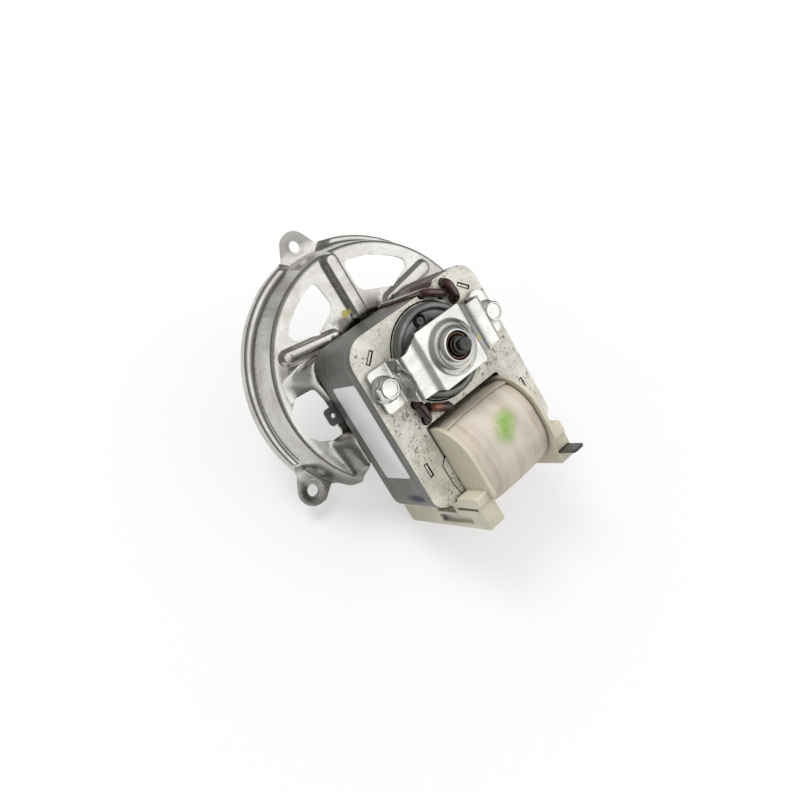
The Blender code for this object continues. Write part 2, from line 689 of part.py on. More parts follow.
def build_stator(parent):
    holes = [circle(BORE_RADIUS, 40)]
    holes += [circle(HOLE_CLEARANCE, 12, (side * SCREW_U, 0.0)) for side in (1, -1)]
    for i, (first, second) in enumerate(ring_places()):
        open_notch = i % 2 == 0
        holes += [circle(SHADING_HOLE, 12, place) for place in ((second,) if open_notch else (first, second))]
    prism("stator_core", stack_outline(), STACK_FRONT, STACK_REAR, "lamination", parent, holes)

    socket = LEG_INSIDE + HEAD_DEPTH - GAP
    half = [
        (LEG_INSIDE - GAP, CORE_TOP - GAP), (socket, CORE_TOP - 1.8 * MM - GAP / 2),
        (socket, STACK_BOTTOM + 4.7 * MM), (socket - 1.0 * MM, STACK_BOTTOM + 0.1 * MM),
    ]
    outline = [(-u, v) for u, v in half] + list(reversed(half))
    prism("coil_core", outline, STACK_FRONT, STACK_REAR, "lamination", parent)


def build_shading_rings(parent):
    names = ("upper_inner", "upper_outer", "lower_inner", "lower_outer")
    for name, (first, second) in zip(names, ring_places()):
        span = Vector(second) - Vector(first)
        middle = (Vector(first) + Vector(second)) / 2
        half_span = span.length / 2
        overhang = SHADING_LIFT + SHADING_BAR
        corners = rectangle(-half_span, half_span, STACK_FRONT - overhang, STACK_REAR + overhang)
        path = rounded(corners, 1.9 * MM, 2)
        curve = bpy.data.curves.new("shading_ring_" + name, "CURVE")
        curve.dimensions = "3D"
        curve.bevel_depth = SHADING_BAR
        curve.bevel_resolution = 2
        curve.materials.append(material("shading_copper"))
        spline = curve.splines.new("POLY")
        spline.points.add(len(path) - 1)
        spline.use_cyclic_u = True
        along = span.normalized()
        for point, (across, w) in zip(spline.points, path):
            place = middle + along * across
            point.co = (place.x, place.y, w, 1.0)
        ring = bpy.data.objects.new("shading_ring_" + name, curve)
        bpy.context.collection.objects.link(ring)
        ring.parent = parent


def coil_section(inset, shrink, corner):
    """The coil's outline in v and w at one place along u, pulled in by inset."""
    top, bottom = COIL_TOP - inset - shrink, COIL_BOTTOM + inset + shrink
    front = STACK_FRONT - COIL_FACE + inset + shrink
    rear = STACK_REAR + COIL_FACE - inset - shrink
    return rounded(rectangle(bottom, top, front, rear), max(corner - inset - shrink, MM), 4)


def tube_section(clearance):
    """The bobbin tube's outer outline in v and w, grown by clearance, with as many points."""
    grow = GAP + WALL + clearance
    corners = rectangle(STACK_BOTTOM - grow, CORE_TOP + grow, STACK_FRONT - grow, STACK_REAR + grow)
    return rounded(corners, 1.5 * MM, 4)


def build_ring_solid(name, outer_inset, inner, finish, parent):
    """A sleeve round the bobbin tube, crowned between the flanges."""
    end = FLANGE_OUTSIDE - FLANGE - GAP
    stations = [end * s for s in (-1.0, -0.8, -0.3, 0.3, 0.8, 1.0)]

    def at(u, outline):
        return [(u, v, w) for v, w in outline]

    outer = []
    for u in stations:
        crown = COIL_CROWN * (abs(u) / end) ** 2.5
        outer.append(at(u, coil_section(outer_inset, crown, COIL_CORNER)))
    inner_sections = [at(u, inner(u, end)) for u in reversed(stations)]
    return loft(name, outer + inner_sections, finish, parent, closed=True, smooth=45.0)


def block_outline(side):
    """A terminal block in v and w. Its lug stands over the stack's rear face, notched on the right."""
    bottom, top = BLOCK_BOTTOM, BLOCK_TOP
    front, rear = STACK_FRONT - BLOCK_FRONT, STACK_REAR + BLOCK_REAR
    step = STACK_REAR + 2 * GAP
    crest = top + (2.8 * MM if side > 0 else 1.2 * MM)
    lug = [(top, step), (crest, step)]
    if side > 0:
        lug += [(crest, step + 4.0 * MM), (crest - 1.8 * MM, step + 4.0 * MM),
                (crest - 1.8 * MM, step + 6.0 * MM), (crest, step + 6.0 * MM)]
    corners = [(bottom, front), (top, front), *lug, (crest, rear + 0.8 * MM),
               (top - 2.0 * MM, rear + 0.8 * MM), (top - 2.0 * MM, rear), (bottom, rear)]
    return rounded(corners, 0.5 * MM, 1)


def build_coil(parent):
    build_ring_solid("coil_wrap", 0.0, lambda u, end: coil_section(
        WRAP, COIL_CROWN * (abs(u) / end) ** 2.5, COIL_CORNER), "coil_tape", parent)
    build_ring_solid("coil_winding", WRAP + GAP, lambda u, end: tube_section(GAP),
                     "copper_wire", parent)

    rear, front = STACK_REAR + COIL_REACH, STACK_FRONT - COIL_REACH
    flange = rounded(rectangle(BLOCK_TOP - 2.2 * MM, FLANGE_TOP, front, rear),
                     [2.0 * MM, COIL_CORNER, COIL_CORNER, 2.0 * MM], 5)
    inner = FLANGE_OUTSIDE - FLANGE
    bobbin = cross_prism("coil_bobbin", flange, inner, FLANGE_OUTSIDE, "bobbin_plastic", parent)
    other = cross_prism("cut_flange", flange, -FLANGE_OUTSIDE, -inner, "bobbin_plastic", parent)
    tube = cross_prism("cut_tube", tube_section(0.0), -inner - FLANGE / 2, inner + FLANGE / 2,
                       "bobbin_plastic", parent)
    boolean(bobbin, tube, "UNION")
    boolean(bobbin, other, "UNION")
    for side, tag in ((1, "right"), (-1, "left")):
        low, high = sorted((side * (inner + 0.2 * MM), side * BLOCK_OUTSIDE))
        body = cross_prism("cut_block_" + tag, block_outline(side), low, high, "bobbin_plastic", parent)
        boolean(bobbin, body, "UNION")
    hole = cross_prism("cut_opening", rectangle(STACK_BOTTOM - GAP, CORE_TOP + GAP,
                                                STACK_FRONT - GAP, STACK_REAR + GAP),
                       -FLANGE_OUTSIDE - OVERSHOOT, FLANGE_OUTSIDE + OVERSHOOT,
                       "bobbin_plastic", parent)
    boolean(bobbin, hole, "DIFFERENCE")
    build_terminals(bobbin, inner, parent)


def build_terminals(bobbin, inner, parent):
    """The two supply tabs, their slots, and the recesses of the terminal blocks."""
    centre = (inner + BLOCK_OUTSIDE) / 2
    tab_v = (BLOCK_TOP + BLOCK_BOTTOM) / 2 - 1.2 * MM
    blade = TAB_WIDTH / 2

    def slot_mesh(name, outline, low, high):
        """A cutter given in u and w, between two heights."""
        bm = prism_mesh(outline, [], low, high)
        for vert in bm.verts:
            vert.co = Vector((vert.co.x, vert.co.z, vert.co.y))
        return add_object(name, bm, "bobbin_plastic", parent)

    rear_end = STACK_REAR + BLOCK_REAR
    front_end = STACK_FRONT - BLOCK_FRONT
    for name, side, shoulder, tip in (
            ("supply_tab_right", 1, rear_end + GAP, rear_end + TAB_LENGTH),
            ("supply_tab_left", -1, front_end + TAB_LENGTH + TAB_TIP, front_end + TAB_TIP)):
        ahead = 1.0 if tip > shoulder else -1.0
        root = shoulder - ahead * TAB_ROOT
        steps = [
            (root, blade, TAB_ROOT_THICK), (shoulder, blade, TAB_ROOT_THICK), (shoulder, blade, TAB_THICK),
            (tip - ahead * TAB_TIP, blade, TAB_THICK), (tip, blade - TAB_TIP, TAB_THICK / 2),
        ]
        loft(name, [
            [(side * centre + u, tab_v + v, w) for u, v in rectangle(-half, half, -thick / 2, thick / 2)]
            for w, half, thick in steps], "tab_steel", parent)
        low, high = sorted((root - ahead * GAP, tip + ahead * 2 * OVERSHOOT))
        slot = rectangle(side * centre - blade - GAP, side * centre + blade + GAP, low, high)
        cut = slot_mesh("cut_" + name, slot, tab_v - TAB_ROOT_THICK / 2 - GAP,
                        tab_v + TAB_ROOT_THICK / 2 + GAP)
        boolean(bobbin, cut, "DIFFERENCE")
    mouth = rectangle(tab_v - 2.4 * MM, tab_v + 2.4 * MM, front_end - OVERSHOOT,
                      front_end + TAB_LENGTH + 1.5 * MM)
    cuts = [
        ("cut_mouth", mouth, -centre - blade - 2 * GAP, -centre + blade + 2 * GAP),
        ("cut_slot", rectangle(BLOCK_TOP - 3.6 * MM, BLOCK_TOP - 2.4 * MM, STACK_REAR - 2.0 * MM,
                               rear_end - 1.2 * MM), -BLOCK_OUTSIDE - OVERSHOOT, -BLOCK_OUTSIDE + 2.2 * MM),
        ("cut_pocket", rectangle(BLOCK_BOTTOM + 1.6 * MM, BLOCK_BOTTOM + 4.6 * MM,
                                 STACK_REAR - 16.0 * MM, STACK_REAR + 3.0 * MM),
         -BLOCK_OUTSIDE - OVERSHOOT, -BLOCK_OUTSIDE + 1.4 * MM),
        ("cut_window", rectangle(BLOCK_TOP - 4.8 * MM, BLOCK_TOP - 2.0 * MM, STACK_REAR - 15.5 * MM,
                                 STACK_REAR - 4.0 * MM),
         -BLOCK_OUTSIDE - OVERSHOOT, -BLOCK_OUTSIDE + 3.2 * MM),
    ]
    for name, outline, low, high in cuts:
        boolean(bobbin, cross_prism(name, outline, low, high, "bobbin_plastic", parent), "DIFFERENCE")


# Bearings and the rear bridge

def bridge_plan():
    """The bridge seen along the shaft, with the waist of its left arm."""
    length, foot, width = BRIDGE_HALF_LENGTH, BRIDGE_FOOT, BRIDGE_HALF_WIDTH
    plateau = BRIDGE_PLATEAU - 0.4 * MM
    arm = BRIDGE_PLATEAU + 5.6 * MM
    toe = BRIDGE_TOE + 0.6 * MM
    corners = [
        ((-length, foot - 0.4 * MM), 1.5 * MM), ((-toe, foot - 0.5 * MM), 1.5 * MM),
        ((-arm, foot - 1.0 * MM), 4.0 * MM), ((-plateau, width), 0.6 * MM),
        ((plateau, width), 0.6 * MM), ((plateau + 1.6 * MM, width - 1.2 * MM), 1.0 * MM),
        ((toe, foot + 0.4 * MM), 2.0 * MM), ((toe + 3.0 * MM, foot + 1.6 * MM), 1.5 * MM),
        ((length, foot + 0.4 * MM), 2.0 * MM), ((length, -foot), 1.5 * MM),
        ((toe, -foot), 2.0 * MM), ((plateau + 1.4 * MM, -width + 1.6 * MM), 1.0 * MM),
        ((plateau, -width), 0.6 * MM), ((-plateau, -width), 0.6 * MM),
        ((-plateau - 2.6 * MM, -width + 1.5 * MM), 2.0 * MM), ((-toe, -foot - 1.4 * MM), 1.0 * MM),
        ((-toe - 1.6 * MM, -foot - 0.6 * MM), 1.0 * MM), ((-length, -foot - 0.4 * MM), 1.5 * MM),
    ]
    return rounded([c for c, _ in corners], [r for _, r in corners], 2)


def dome_profile(face, seat, sheet, hole_cut):
    """The bulge of a bearing dome beyond a sheet's outer face, or the hollow inside it."""
    out = 1.0 if face > seat else -1.0
    if hole_cut:
        inner_face = face - out * sheet
        points = [(0.0, inner_face - out * OVERSHOOT)]
        start = math.degrees(math.asin((abs(inner_face - seat) - OVERSHOOT) / DOME_RADIUS))
        end = math.degrees(math.acos(DOME_HOLE / DOME_RADIUS))
        for i in range(5):
            turn = math.radians(start + (end - start) * i / 4)
            points.append((DOME_RADIUS * math.cos(turn), seat + out * DOME_RADIUS * math.sin(turn)))
        top = seat + out * (DOME_RADIUS + sheet + OVERSHOOT)
        return points + [(DOME_HOLE, top), (0.0, top)]
    outer = DOME_RADIUS + sheet
    sink = face - out * sheet / 2
    end = math.acos(DOME_HOLE / outer)
    blend = 1.6 * MM
    base = math.asin(min((abs(face - seat) + 0.7 * MM) / outer, 0.99))
    foot = (outer * math.cos(base), seat + out * outer * math.sin(base))
    points = [(0.0, sink), (foot[0] + blend, sink), (foot[0] + blend, face + out * 0.03 * MM)]
    points.append((foot[0] + blend * 0.4, face + out * 0.2 * MM))
    for i in range(5):
        turn = base + (end - base) * i / 4
        points.append((outer * math.cos(turn), seat + out * outer * math.sin(turn)))
    top = points[-1][1]
    return points + [(0.0, top)]


def build_bridge(parent):
    foot_top = STACK_REAR + GAP + BRIDGE_SHEET
    reach = BRIDGE_HALF_LENGTH + OVERSHOOT
    shoulder = REAR_FACE - BRIDGE_SHOULDER_DROP
    line = [(reach, foot_top), (BRIDGE_TOE, foot_top), (BRIDGE_SHOULDER, shoulder),
            (BRIDGE_PLATEAU, REAR_FACE)]
    radii = [0.0, 0.7 * MM, 2.4 * MM, 2.5 * MM]
    line += [(-u, w) for u, w in reversed(line)]
    radii += reversed(radii)
    section = sheet_section(line, radii, BRIDGE_SHEET, 2)
    half = BRIDGE_HALF_WIDTH + OVERSHOOT
    bm = prism_mesh(section, [], -half, half)
    for vert in bm.verts:
        vert.co = Vector((vert.co.x, vert.co.z, vert.co.y))
    bridge = add_object("rear_bridge", bm, "zinc_steel", parent)
    plan = prism("cut_bridge_plan", bridge_plan(), STACK_REAR - OVERSHOOT, REAR_FACE + OVERSHOOT,
                 "zinc_steel", parent)
    boolean(bridge, plan, "INTERSECT")
    bulge = turned("cut_dome_bulge", dome_profile(REAR_FACE, REAR_SEAT, BRIDGE_SHEET, False),
                   "zinc_steel", parent, 24)
    boolean(bridge, bulge, "UNION")
    hollow = turned("cut_dome_hollow", dome_profile(REAR_FACE, REAR_SEAT, BRIDGE_SHEET, True),
                    "zinc_steel", parent, 24)
    boolean(bridge, hollow, "DIFFERENCE")
    for side in (1, -1):
        hole = prism("cut_bridge_hole", circle(HOLE_CLEARANCE, 12, (side * SCREW_U, 0.0)),
                     STACK_REAR - OVERSHOOT, foot_top + OVERSHOOT, "zinc_steel", parent)
        boolean(bridge, hole, "DIFFERENCE")


def build_bearing(tag, seat, out, stack_face, parent, rotor):
    """Bush, cup, felt and thrust washer of one end. out is +1 at the rear and -1 at the front."""

    def place(points):
        return [(radius, seat + out * t) for radius, t in points]

    bush_radius = DOME_RADIUS - GAP
    bore = SHAFT_RADIUS + GAP
    ball = []
    join = math.acos(NECK_RADIUS / bush_radius)
    for i in range(7):
        turn = -join + 2 * join * i / 6
        ball.append((bush_radius * math.cos(turn), bush_radius * math.sin(turn)))
    tail = abs(seat - stack_face) - 2 * GAP - THRUST_WASHER
    low = -max(tail, ball[-1][1]) if tail > ball[-1][1] else -tail
    ball = [p for p in ball if p[1] > low + 0.2 * MM]
    start_radius = math.sqrt(max(bush_radius ** 2 - low * low, NECK_RADIUS ** 2))
    turned(tag + "_bearing", place([(bore, low), (start_radius, low)] + ball
           + [(NECK_RADIUS, NECK_LENGTH), (bore + 0.3 * MM, NECK_LENGTH), (bore, NECK_LENGTH - 0.3 * MM)]),
           "sintered_bronze", parent, 18)

    lip = SEAT_DEPTH - GAP
    line = [(CUP_RADIUS, lip), (CUP_RADIUS, -0.4 * MM), (7.6 * MM, -3.5 * MM)]
    section = sheet_section(line, [0.0, 0.8 * MM, 0.0], -CUP_SHEET, 1)
    turned(tag + "_bearing_retainer", place(section), "zinc_steel", parent, 16)

    felt_in, felt_out = DOME_RADIUS, CUP_RADIUS - CUP_SHEET - GAP
    turned(tag + "_felt_ring", place([(felt_in, -0.1 * MM), (felt_out, -0.1 * MM),
                                      (felt_out, 2.0 * MM), (felt_in, 2.0 * MM)]), "felt", parent, 16)
    inner, outer = stack_face + out * GAP, stack_face + out * (GAP + THRUST_WASHER)
    turned(tag + "_thrust_washer", [(bore, inner), (5.4 * MM, inner), (5.4 * MM, outer), (bore, outer)],
           "fibre", rotor, 16)


# Rotor and shaft

def build_rotor(parent):
    bars = [polar(BAR_CIRCLE, 360.0 * i / BAR_COUNT) for i in range(BAR_COUNT)]
    holes = [circle(SHAFT_RADIUS + GAP, 16)]
    holes += [circle(BAR_RADIUS + GAP, 6, place) for place in bars]
    prism("rotor_core", circle(ROTOR_RADIUS, 32), STACK_FRONT, STACK_REAR, "lamination", parent,
          holes, levels=2, twist=BAR_SKEW)

    outer = ROTOR_RADIUS - GAP
    ring = [(RING_INSIDE, GAP), (outer, GAP), (outer - 0.3 * MM, RING_HEIGHT - 0.8 * MM),
            (outer - 0.9 * MM, RING_HEIGHT), (outer - 2.1 * MM, RING_HEIGHT),
            (outer - 2.5 * MM, 1.5 * MM), (RING_INSIDE + 0.3 * MM, 1.2 * MM)]
    cage = turned("rotor_cage", [(r, STACK_REAR + t) for r, t in ring], "die_cast", parent, 24)
    front = turned("cut_front_ring", [(r, STACK_FRONT - t) for r, t in ring], "die_cast", parent, 24)
    boolean(cage, front, "UNION")
    bm = bmesh.new()
    reach = GAP + 0.6 * MM
    for place in bars:
        bar = prism_mesh(circle(BAR_RADIUS, 6, place), [], STACK_FRONT - reach, STACK_REAR + reach,
                         2, BAR_SKEW * (1.0 + 2 * reach / STACK_DEPTH))
        mesh = bpy.data.meshes.new("bar")
        bar.to_mesh(mesh)
        bar.free()
        bm.from_mesh(mesh)
    boolean(cage, add_object("cut_bars", bm, "die_cast", parent), "UNION")
    bm = bmesh.new()
    for end, out in ((STACK_REAR, 1.0), (STACK_FRONT, -1.0)):
        for angle in (88.0, 208.0, 328.0):
            low, high = sorted((end + out * 0.8 * MM, end + out * (RING_HEIGHT - 0.2 * MM)))
            pip = prism_mesh(circle(PIP_RADIUS, 8, polar(PIP_CIRCLE, angle)), [], low, high)
            mesh = bpy.data.meshes.new("pip")
            pip.to_mesh(mesh)
            pip.free()
            bm.from_mesh(mesh)
    boolean(cage, add_object("cut_pips", bm, "die_cast", parent), "UNION")


def build_shaft(parent):
    rear, front = STACK_REAR + SHAFT_REAR, -SHAFT_FRONT
    radius = SHAFT_RADIUS
    groove = rear - 3.0 * MM
    thread = front + THREAD_LENGTH
    thread_radius = radius - FLAT_DEPTH
    profile = [
        (0.0, rear), (radius - 1.0 * MM, rear), (radius - 0.5 * MM, rear - 0.5 * MM),
        (radius - 0.5 * MM, groove), (radius - 0.9 * MM, groove), (radius - 0.9 * MM, groove - 0.8 * MM),
        (radius, groove - 0.8 * MM), (radius, thread), (thread_radius, thread - 0.4 * MM),
        (thread_radius, front + 0.6 * MM), (thread_radius - 0.6 * MM, front), (0.0, front),
    ]
    shaft = turned("shaft", profile, "shaft_steel", parent, 20)
    for side in (1, -1):
        low, high = sorted((side * (radius - FLAT_DEPTH), side * (radius + OVERSHOOT)))
        flat = prism("cut_flat", rectangle(low, high, -radius - OVERSHOOT, radius + OVERSHOOT),
                     thread, -FAN_SEAT, "shaft_steel", parent)
        boolean(shaft, flat, "DIFFERENCE")


# Fasteners

def build_screws(parent):
    seat = STACK_REAR + 2 * GAP + BRIDGE_SHEET
    tip = EARTH_PAD_HEIGHT - SHEET - SCREW_TIP
    profile = [
        (0.0, tip), (SCREW_RADIUS - 0.5 * MM, tip), (SCREW_RADIUS, tip + 0.6 * MM),
        (SCREW_RADIUS, seat), (SCREW_FLANGE, seat), (SCREW_FLANGE, seat + 0.4 * MM),
        (SCREW_HEX * 0.53, seat + SCREW_FLANGE_THICK), (0.0, seat + SCREW_FLANGE_THICK),
    ]
    for tag, side in (("right", 1), ("left", -1)):
        screw = turned("fixing_screw_" + tag, profile, "zinc_steel", parent, 16)
        flats = [SCREW_HEX / 2 / math.cos(math.radians(30.0)) if i % 2 else SCREW_HEX / 2
                 for i in range(12)]

        def ring(w, shrink):
            return [(*polar(size - shrink, 30.0 * i), w) for i, size in enumerate(flats)]

        top = seat + SCREW_HEAD
        head = loft("cut_hexagon_" + tag, [
            ring(seat + 0.3 * MM, 0.0), ring(top - 0.5 * MM, 0.0), ring(top, 0.7 * MM)],
            "zinc_steel", parent)
        boolean(screw, head, "UNION")
        for piece in (screw, head):
            piece.location = (side * SCREW_U, 0.0, 0.0)


def build_earth_tab(parent):
    """Blade, shoulders and the eye that the left fixing screw clamps."""
    blade, root = EARTH_TAB_WIDTH / 2, EARTH_TAB_WIDTH / 2 + 0.6 * MM
    v, tip = EARTH_TAB_V, -EARTH_TAB_TIP
    neck = -STACK_HALF_WIDTH - 1.0 * MM
    outline = [
        (tip, v - blade + 0.9 * MM), (tip + 0.8 * MM, v - blade), (neck, v - blade),
        (neck, v - root), (-SCREW_U - 2.0 * MM, v - root),
    ]
    outline += arc((-SCREW_U, 0.0), EARTH_EYE, 275.0, 470.0, 10)
    outline += [
        (neck, v + root), (neck, v + blade), (tip + 0.8 * MM, v + blade), (tip, v + blade - 0.9 * MM),
    ]
    eye = circle(HOLE_CLEARANCE, 12, (-SCREW_U, 0.0))
    spot = circle(0.9 * MM, 10, (tip + 2.6 * MM, v))
    top = STACK_FRONT - GAP
    prism("earth_tab", outline, top - TAB_THICK, top, "tab_steel", parent, [eye, spot])


def main():
    for old in list(bpy.data.objects):
        bpy.data.objects.remove(old, do_unlink=True)
    motor = empty("motor_axis")
    rotor = empty("rotor_axis")
    build_plate(motor)
    build_stator(motor)
    build_shading_rings(motor)
    build_coil(motor)
    build_bridge(motor)
    build_bearing("rear", REAR_SEAT, 1.0, STACK_REAR, motor, rotor)
    build_bearing("front", FRONT_SEAT, -1.0, STACK_FRONT, motor, rotor)
    build_rotor(rotor)
    build_shaft(rotor)
    build_screws(motor)
    build_earth_tab(motor)
    bpy.context.view_layer.update()


main()
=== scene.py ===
"""Looks, floor, light and camera for the oven fan motor.

The part's frame: the shaft lies along Y, with the rear bearing at -Y and the fan end at +Y. The
coil hangs at -Z. Pieces are drawn in the motor's own axes in millimetres: u across, v up, and w
along the shaft from the mounting plane to the rear. MOTOR_AXES takes them into the part's frame.
"""
import json
import math

import bmesh
import bpy
import numpy as np
from mathutils import Matrix, Vector
from mathutils.geometry import delaunay_2d_cdt
from mathutils.noise import noise


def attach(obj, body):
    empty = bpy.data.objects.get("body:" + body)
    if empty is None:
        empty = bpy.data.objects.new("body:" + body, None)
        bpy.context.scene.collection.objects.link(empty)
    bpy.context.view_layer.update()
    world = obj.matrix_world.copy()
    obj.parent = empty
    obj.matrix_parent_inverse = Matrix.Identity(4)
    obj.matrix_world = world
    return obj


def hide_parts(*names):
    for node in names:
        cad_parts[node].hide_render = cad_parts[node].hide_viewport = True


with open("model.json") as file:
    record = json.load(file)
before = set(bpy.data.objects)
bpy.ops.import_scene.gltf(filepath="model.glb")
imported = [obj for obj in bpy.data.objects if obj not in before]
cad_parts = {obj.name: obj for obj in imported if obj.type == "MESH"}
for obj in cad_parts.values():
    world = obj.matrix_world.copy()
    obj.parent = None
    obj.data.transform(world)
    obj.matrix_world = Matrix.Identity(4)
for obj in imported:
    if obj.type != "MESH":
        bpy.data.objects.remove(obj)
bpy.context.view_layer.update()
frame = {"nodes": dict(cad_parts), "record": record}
NODES = frame["nodes"]
MM = 0.001
CUT_EDGE = 55.0       # degrees above which a sheet's edge is sharp
MOTOR_AXES = Matrix.Rotation(math.radians(90.0), 4, "X") @ Matrix.Scale(MM, 4)

# Camera, as the photograph has it
CAMERA_PLACE = Vector((-0.1306, -0.2648, 0.0497))
CAMERA_FORWARD = Vector((0.4443, 0.8673, -0.2245))
CAMERA_UP = Vector((0.5459, -0.0634, 0.8355))
FOCAL_SHARE = 787.3 / 800.0         # focal length over the picture's width
SENSOR = 36.0

# The table that the motor lies on, tipped on its shaft end and its terminal blocks
FLOOR_TILT = math.radians(53.0)     # from the shaft's level
FLOOR_CLEARANCE = 0.3 * MM
FLOOR_SIZE = 2.4
FLOOR_FADE = (0.06, 0.17, 0.5, 1.0)  # metres from its middle, and how white it looks to the camera

# Light. Each range gives a direction's share, low to high, and the world's strength there.
SOFT_BOX = Vector((0.40, -0.86, -0.05)).normalized()   # the soft box that polished metal mirrors
GLARE = (0.55, 0.985, 0.0, 1.10)
MIRRORED_SKY = (-0.1, 0.9, 0.05, 0.38)
SOFT_SKY = (-0.3, 1.0, 0.30, 0.60)

# Mounting plate, in millimetres
SHEET = 1.2
RIM_RADIUS = 49.5
FLANGE_HEIGHT = 5.0
WALL_FOOT = 46.6
WALL_HEAD = 44.0
WEB = 17.5
WINDOW_RADIUS = 39.0
SIDE_WINDOW_RADIUS = 41.8
EAR_PITCH_RADIUS = 51.2
EAR_ANGLES = (90.0, 210.0, 330.0)
EAR_HOLE = 2.25
EAR_ROUND = 5.7
EAR_FOOT = 8.6          # half the ear's width where it leaves the rim
HUB_RADIUS = 19.0
HUB_FACE = 13.9
DOME_RADIUS = 7.7
DOME_HOLE = 4.8
FRONT_SEAT = 16.6
SCREW_U = 24.0
SCREW_HOLE = 2.3
PAD_OUTSIDE = 29.0
PAD_INSIDE = 20.6
PAD_FLANK = 2.6
PAD_TOP = 22.9
EARTH_PAD_TOP = 21.8

# Stack, coil and rotor
STACK_FRONT = 23.2
STACK_REAR = 49.2
STACK_HALF = 29.0
STACK_TOP = 17.9
STACK_SHOULDER = 19.4
STACK_BOTTOM = -44.4
LEG_INSIDE = 17.2
SOCKET = 19.3
CORE_TOP = -30.4
COIL_WINDOW_TOP = -18.7
BORE = 16.6
RING_HOLE = 1.82
RING_PLACES = (((18.9, 70.5), (18.9, 47.5)), ((22.9, 46.5), (19.2, 32.5)))
LAMINATIONS = 52
SLOTS = ((-21.7, 10.5, 43.0), (22.3, 12.0, -42.0), (-24.2, -30.4, 90.0), (24.2, -28.4, 90.0))
ROTOR = 16.1

# Rear bridge
BRIDGE_SHEET = 1.5
BRIDGE_TOP = 59.7
BRIDGE_FOOT = 51.0
BRIDGE_HALF = 26.8

# Tape over the coil
TAPE_HALF = 14.7
TAPE_REACH = 13.2       # beyond the stack's faces
TAPE_TOP = -20.6
TAPE_BOTTOM = -53.2


# Meshes

def polar(radius, degrees, centre=(0.0, 0.0)):
    turn = math.radians(degrees)
    return (centre[0] + radius * math.cos(turn), centre[1] + radius * math.sin(turn))


def circle(radius, count, centre=(0.0, 0.0)):
    return [polar(radius, 360.0 * i / count, centre) for i in range(count)]


def at_level(points, w):
    return [(x, y, w) for x, y in points]


def arc(centre, radius, start, end, steps):
    return [polar(radius, start + (end - start) * i / steps, centre) for i in range(steps + 1)]


def fillet(before, corner, after, radius, steps):
    """Points of the arc that rounds one corner, limited by its two sides."""
    corner = Vector(corner)
    back, ahead = Vector(before) - corner, Vector(after) - corner
    if radius <= 0.0 or back.length < 1e-9 or ahead.length < 1e-9:
        return [tuple(corner)]
    half = back.angle(ahead) / 2
    if half > math.radians(89.0):
        return [tuple(corner)]
    reach = min(radius / math.tan(half), 0.48 * back.length, 0.48 * ahead.length)
    start = corner + back.normalized() * reach
    end = corner + ahead.normalized() * reach
    centre = corner + (back.normalized() + ahead.normalized()).normalized() * (reach / math.cos(half))
    first = math.atan2(*reversed(start - centre))
    sweep = math.atan2(*reversed(end - centre)) - first
    sweep = (sweep + math.pi) % (2 * math.pi) - math.pi
    size = (start - centre).length
    return [
        (centre.x + size * math.cos(first + sweep * i / steps),
         centre.y + size * math.sin(first + sweep * i / steps))
        for i in range(steps + 1)
    ]


def rounded(corners, radii, steps=6):
    """A closed outline with its corners rounded. radii is one value or one for each corner."""
    if not isinstance(radii, (list, tuple)):
        radii = [radii] * len(corners)
    points = []
    for i, corner in enumerate(corners):
        points += fillet(corners[i - 1], corner, corners[(i + 1) % len(corners)], radii[i], steps)
    return points


def rounded_open(corners, radii, steps=6):
    """An open line with its inner corners rounded."""
    points = [tuple(corners[0])]
    for i in range(1, len(corners) - 1):
        points += fillet(corners[i - 1], corners[i], corners[i + 1], radii[i], steps)
    return points + [tuple(corners[-1])]


def mirrored(points):
    return [(-x, y) for x, y in reversed(points)]


def refine(points, step):
    """A closed outline with its long sides cut into pieces no longer than step."""
    fine = []
    for start, end in zip(points, points[1:] + points[:1]):
        count = max(1, math.ceil(math.dist(start, end) / step))
        fine += [(start[0] + (end[0] - start[0]) * i / count, start[1] + (end[1] - start[1]) * i / count)
                 for i in range(count)]
    return fine


def inside(points, outline):
    """Which of the points lie inside a closed outline."""
    x, y = points[:, 0], points[:, 1]
    odd = np.zeros(len(points), bool)
    previous = outline[-1]
    for corner in outline:
        (x0, y0), (x1, y1) = previous, corner
        if y0 != y1:
            odd ^= ((y1 > y) != (y0 > y)) & (x < (x0 - x1) * (y - y1) / (y0 - y1) + x1)
        previous = corner
    return odd


def clear_of(points, openings):
    """Which of the points lie in none of the openings."""
    return ~np.any([inside(points, opening) for opening in openings], axis=0)


def off_axis(points):
    """How far each point lies from the motor's axis."""
    return np.hypot(points[:, 0], points[:, 1])


def distance(points, outline):
    """How far each point lies from a closed outline."""
    best = np.full(len(points), np.inf)
    ring = np.array(outline)
    for start, end in zip(np.roll(ring, 1, axis=0), ring):
        along = end - start
        share = np.clip((points - start) @ along / (along @ along + 1e-12), 0.0, 1.0)
        best = np.minimum(best, np.linalg.norm(points - start - share[:, None] * along, axis=1))
    return best


def flank(points, foot, top):
    """A smooth step from 0 at a pressed form's foot outline to 1 at its top outline."""
    near, far = distance(points, foot), distance(points, top)
    share = np.where(inside(points, top), 1.0, near / (near + far + 1e-9))
    share = np.where(inside(points, foot), share, 0.0)
    return share * share * (3.0 - 2.0 * share)


def between(foot, top, share):
    return [(a[0] + (b[0] - a[0]) * share, a[1] + (b[1] - a[1]) * share) for a, b in zip(foot, top)]


def link(name, data):
    """A new object in the scene."""
    thing = bpy.data.objects.new(name, data)
    bpy.context.scene.collection.objects.link(thing)
    return thing


def facing(place, direction):
    """A matrix that sets a thing at a place, with its Z along a direction."""
    return Matrix.Translation(place) @ direction.to_track_quat("Z", "Y").to_matrix().to_4x4()


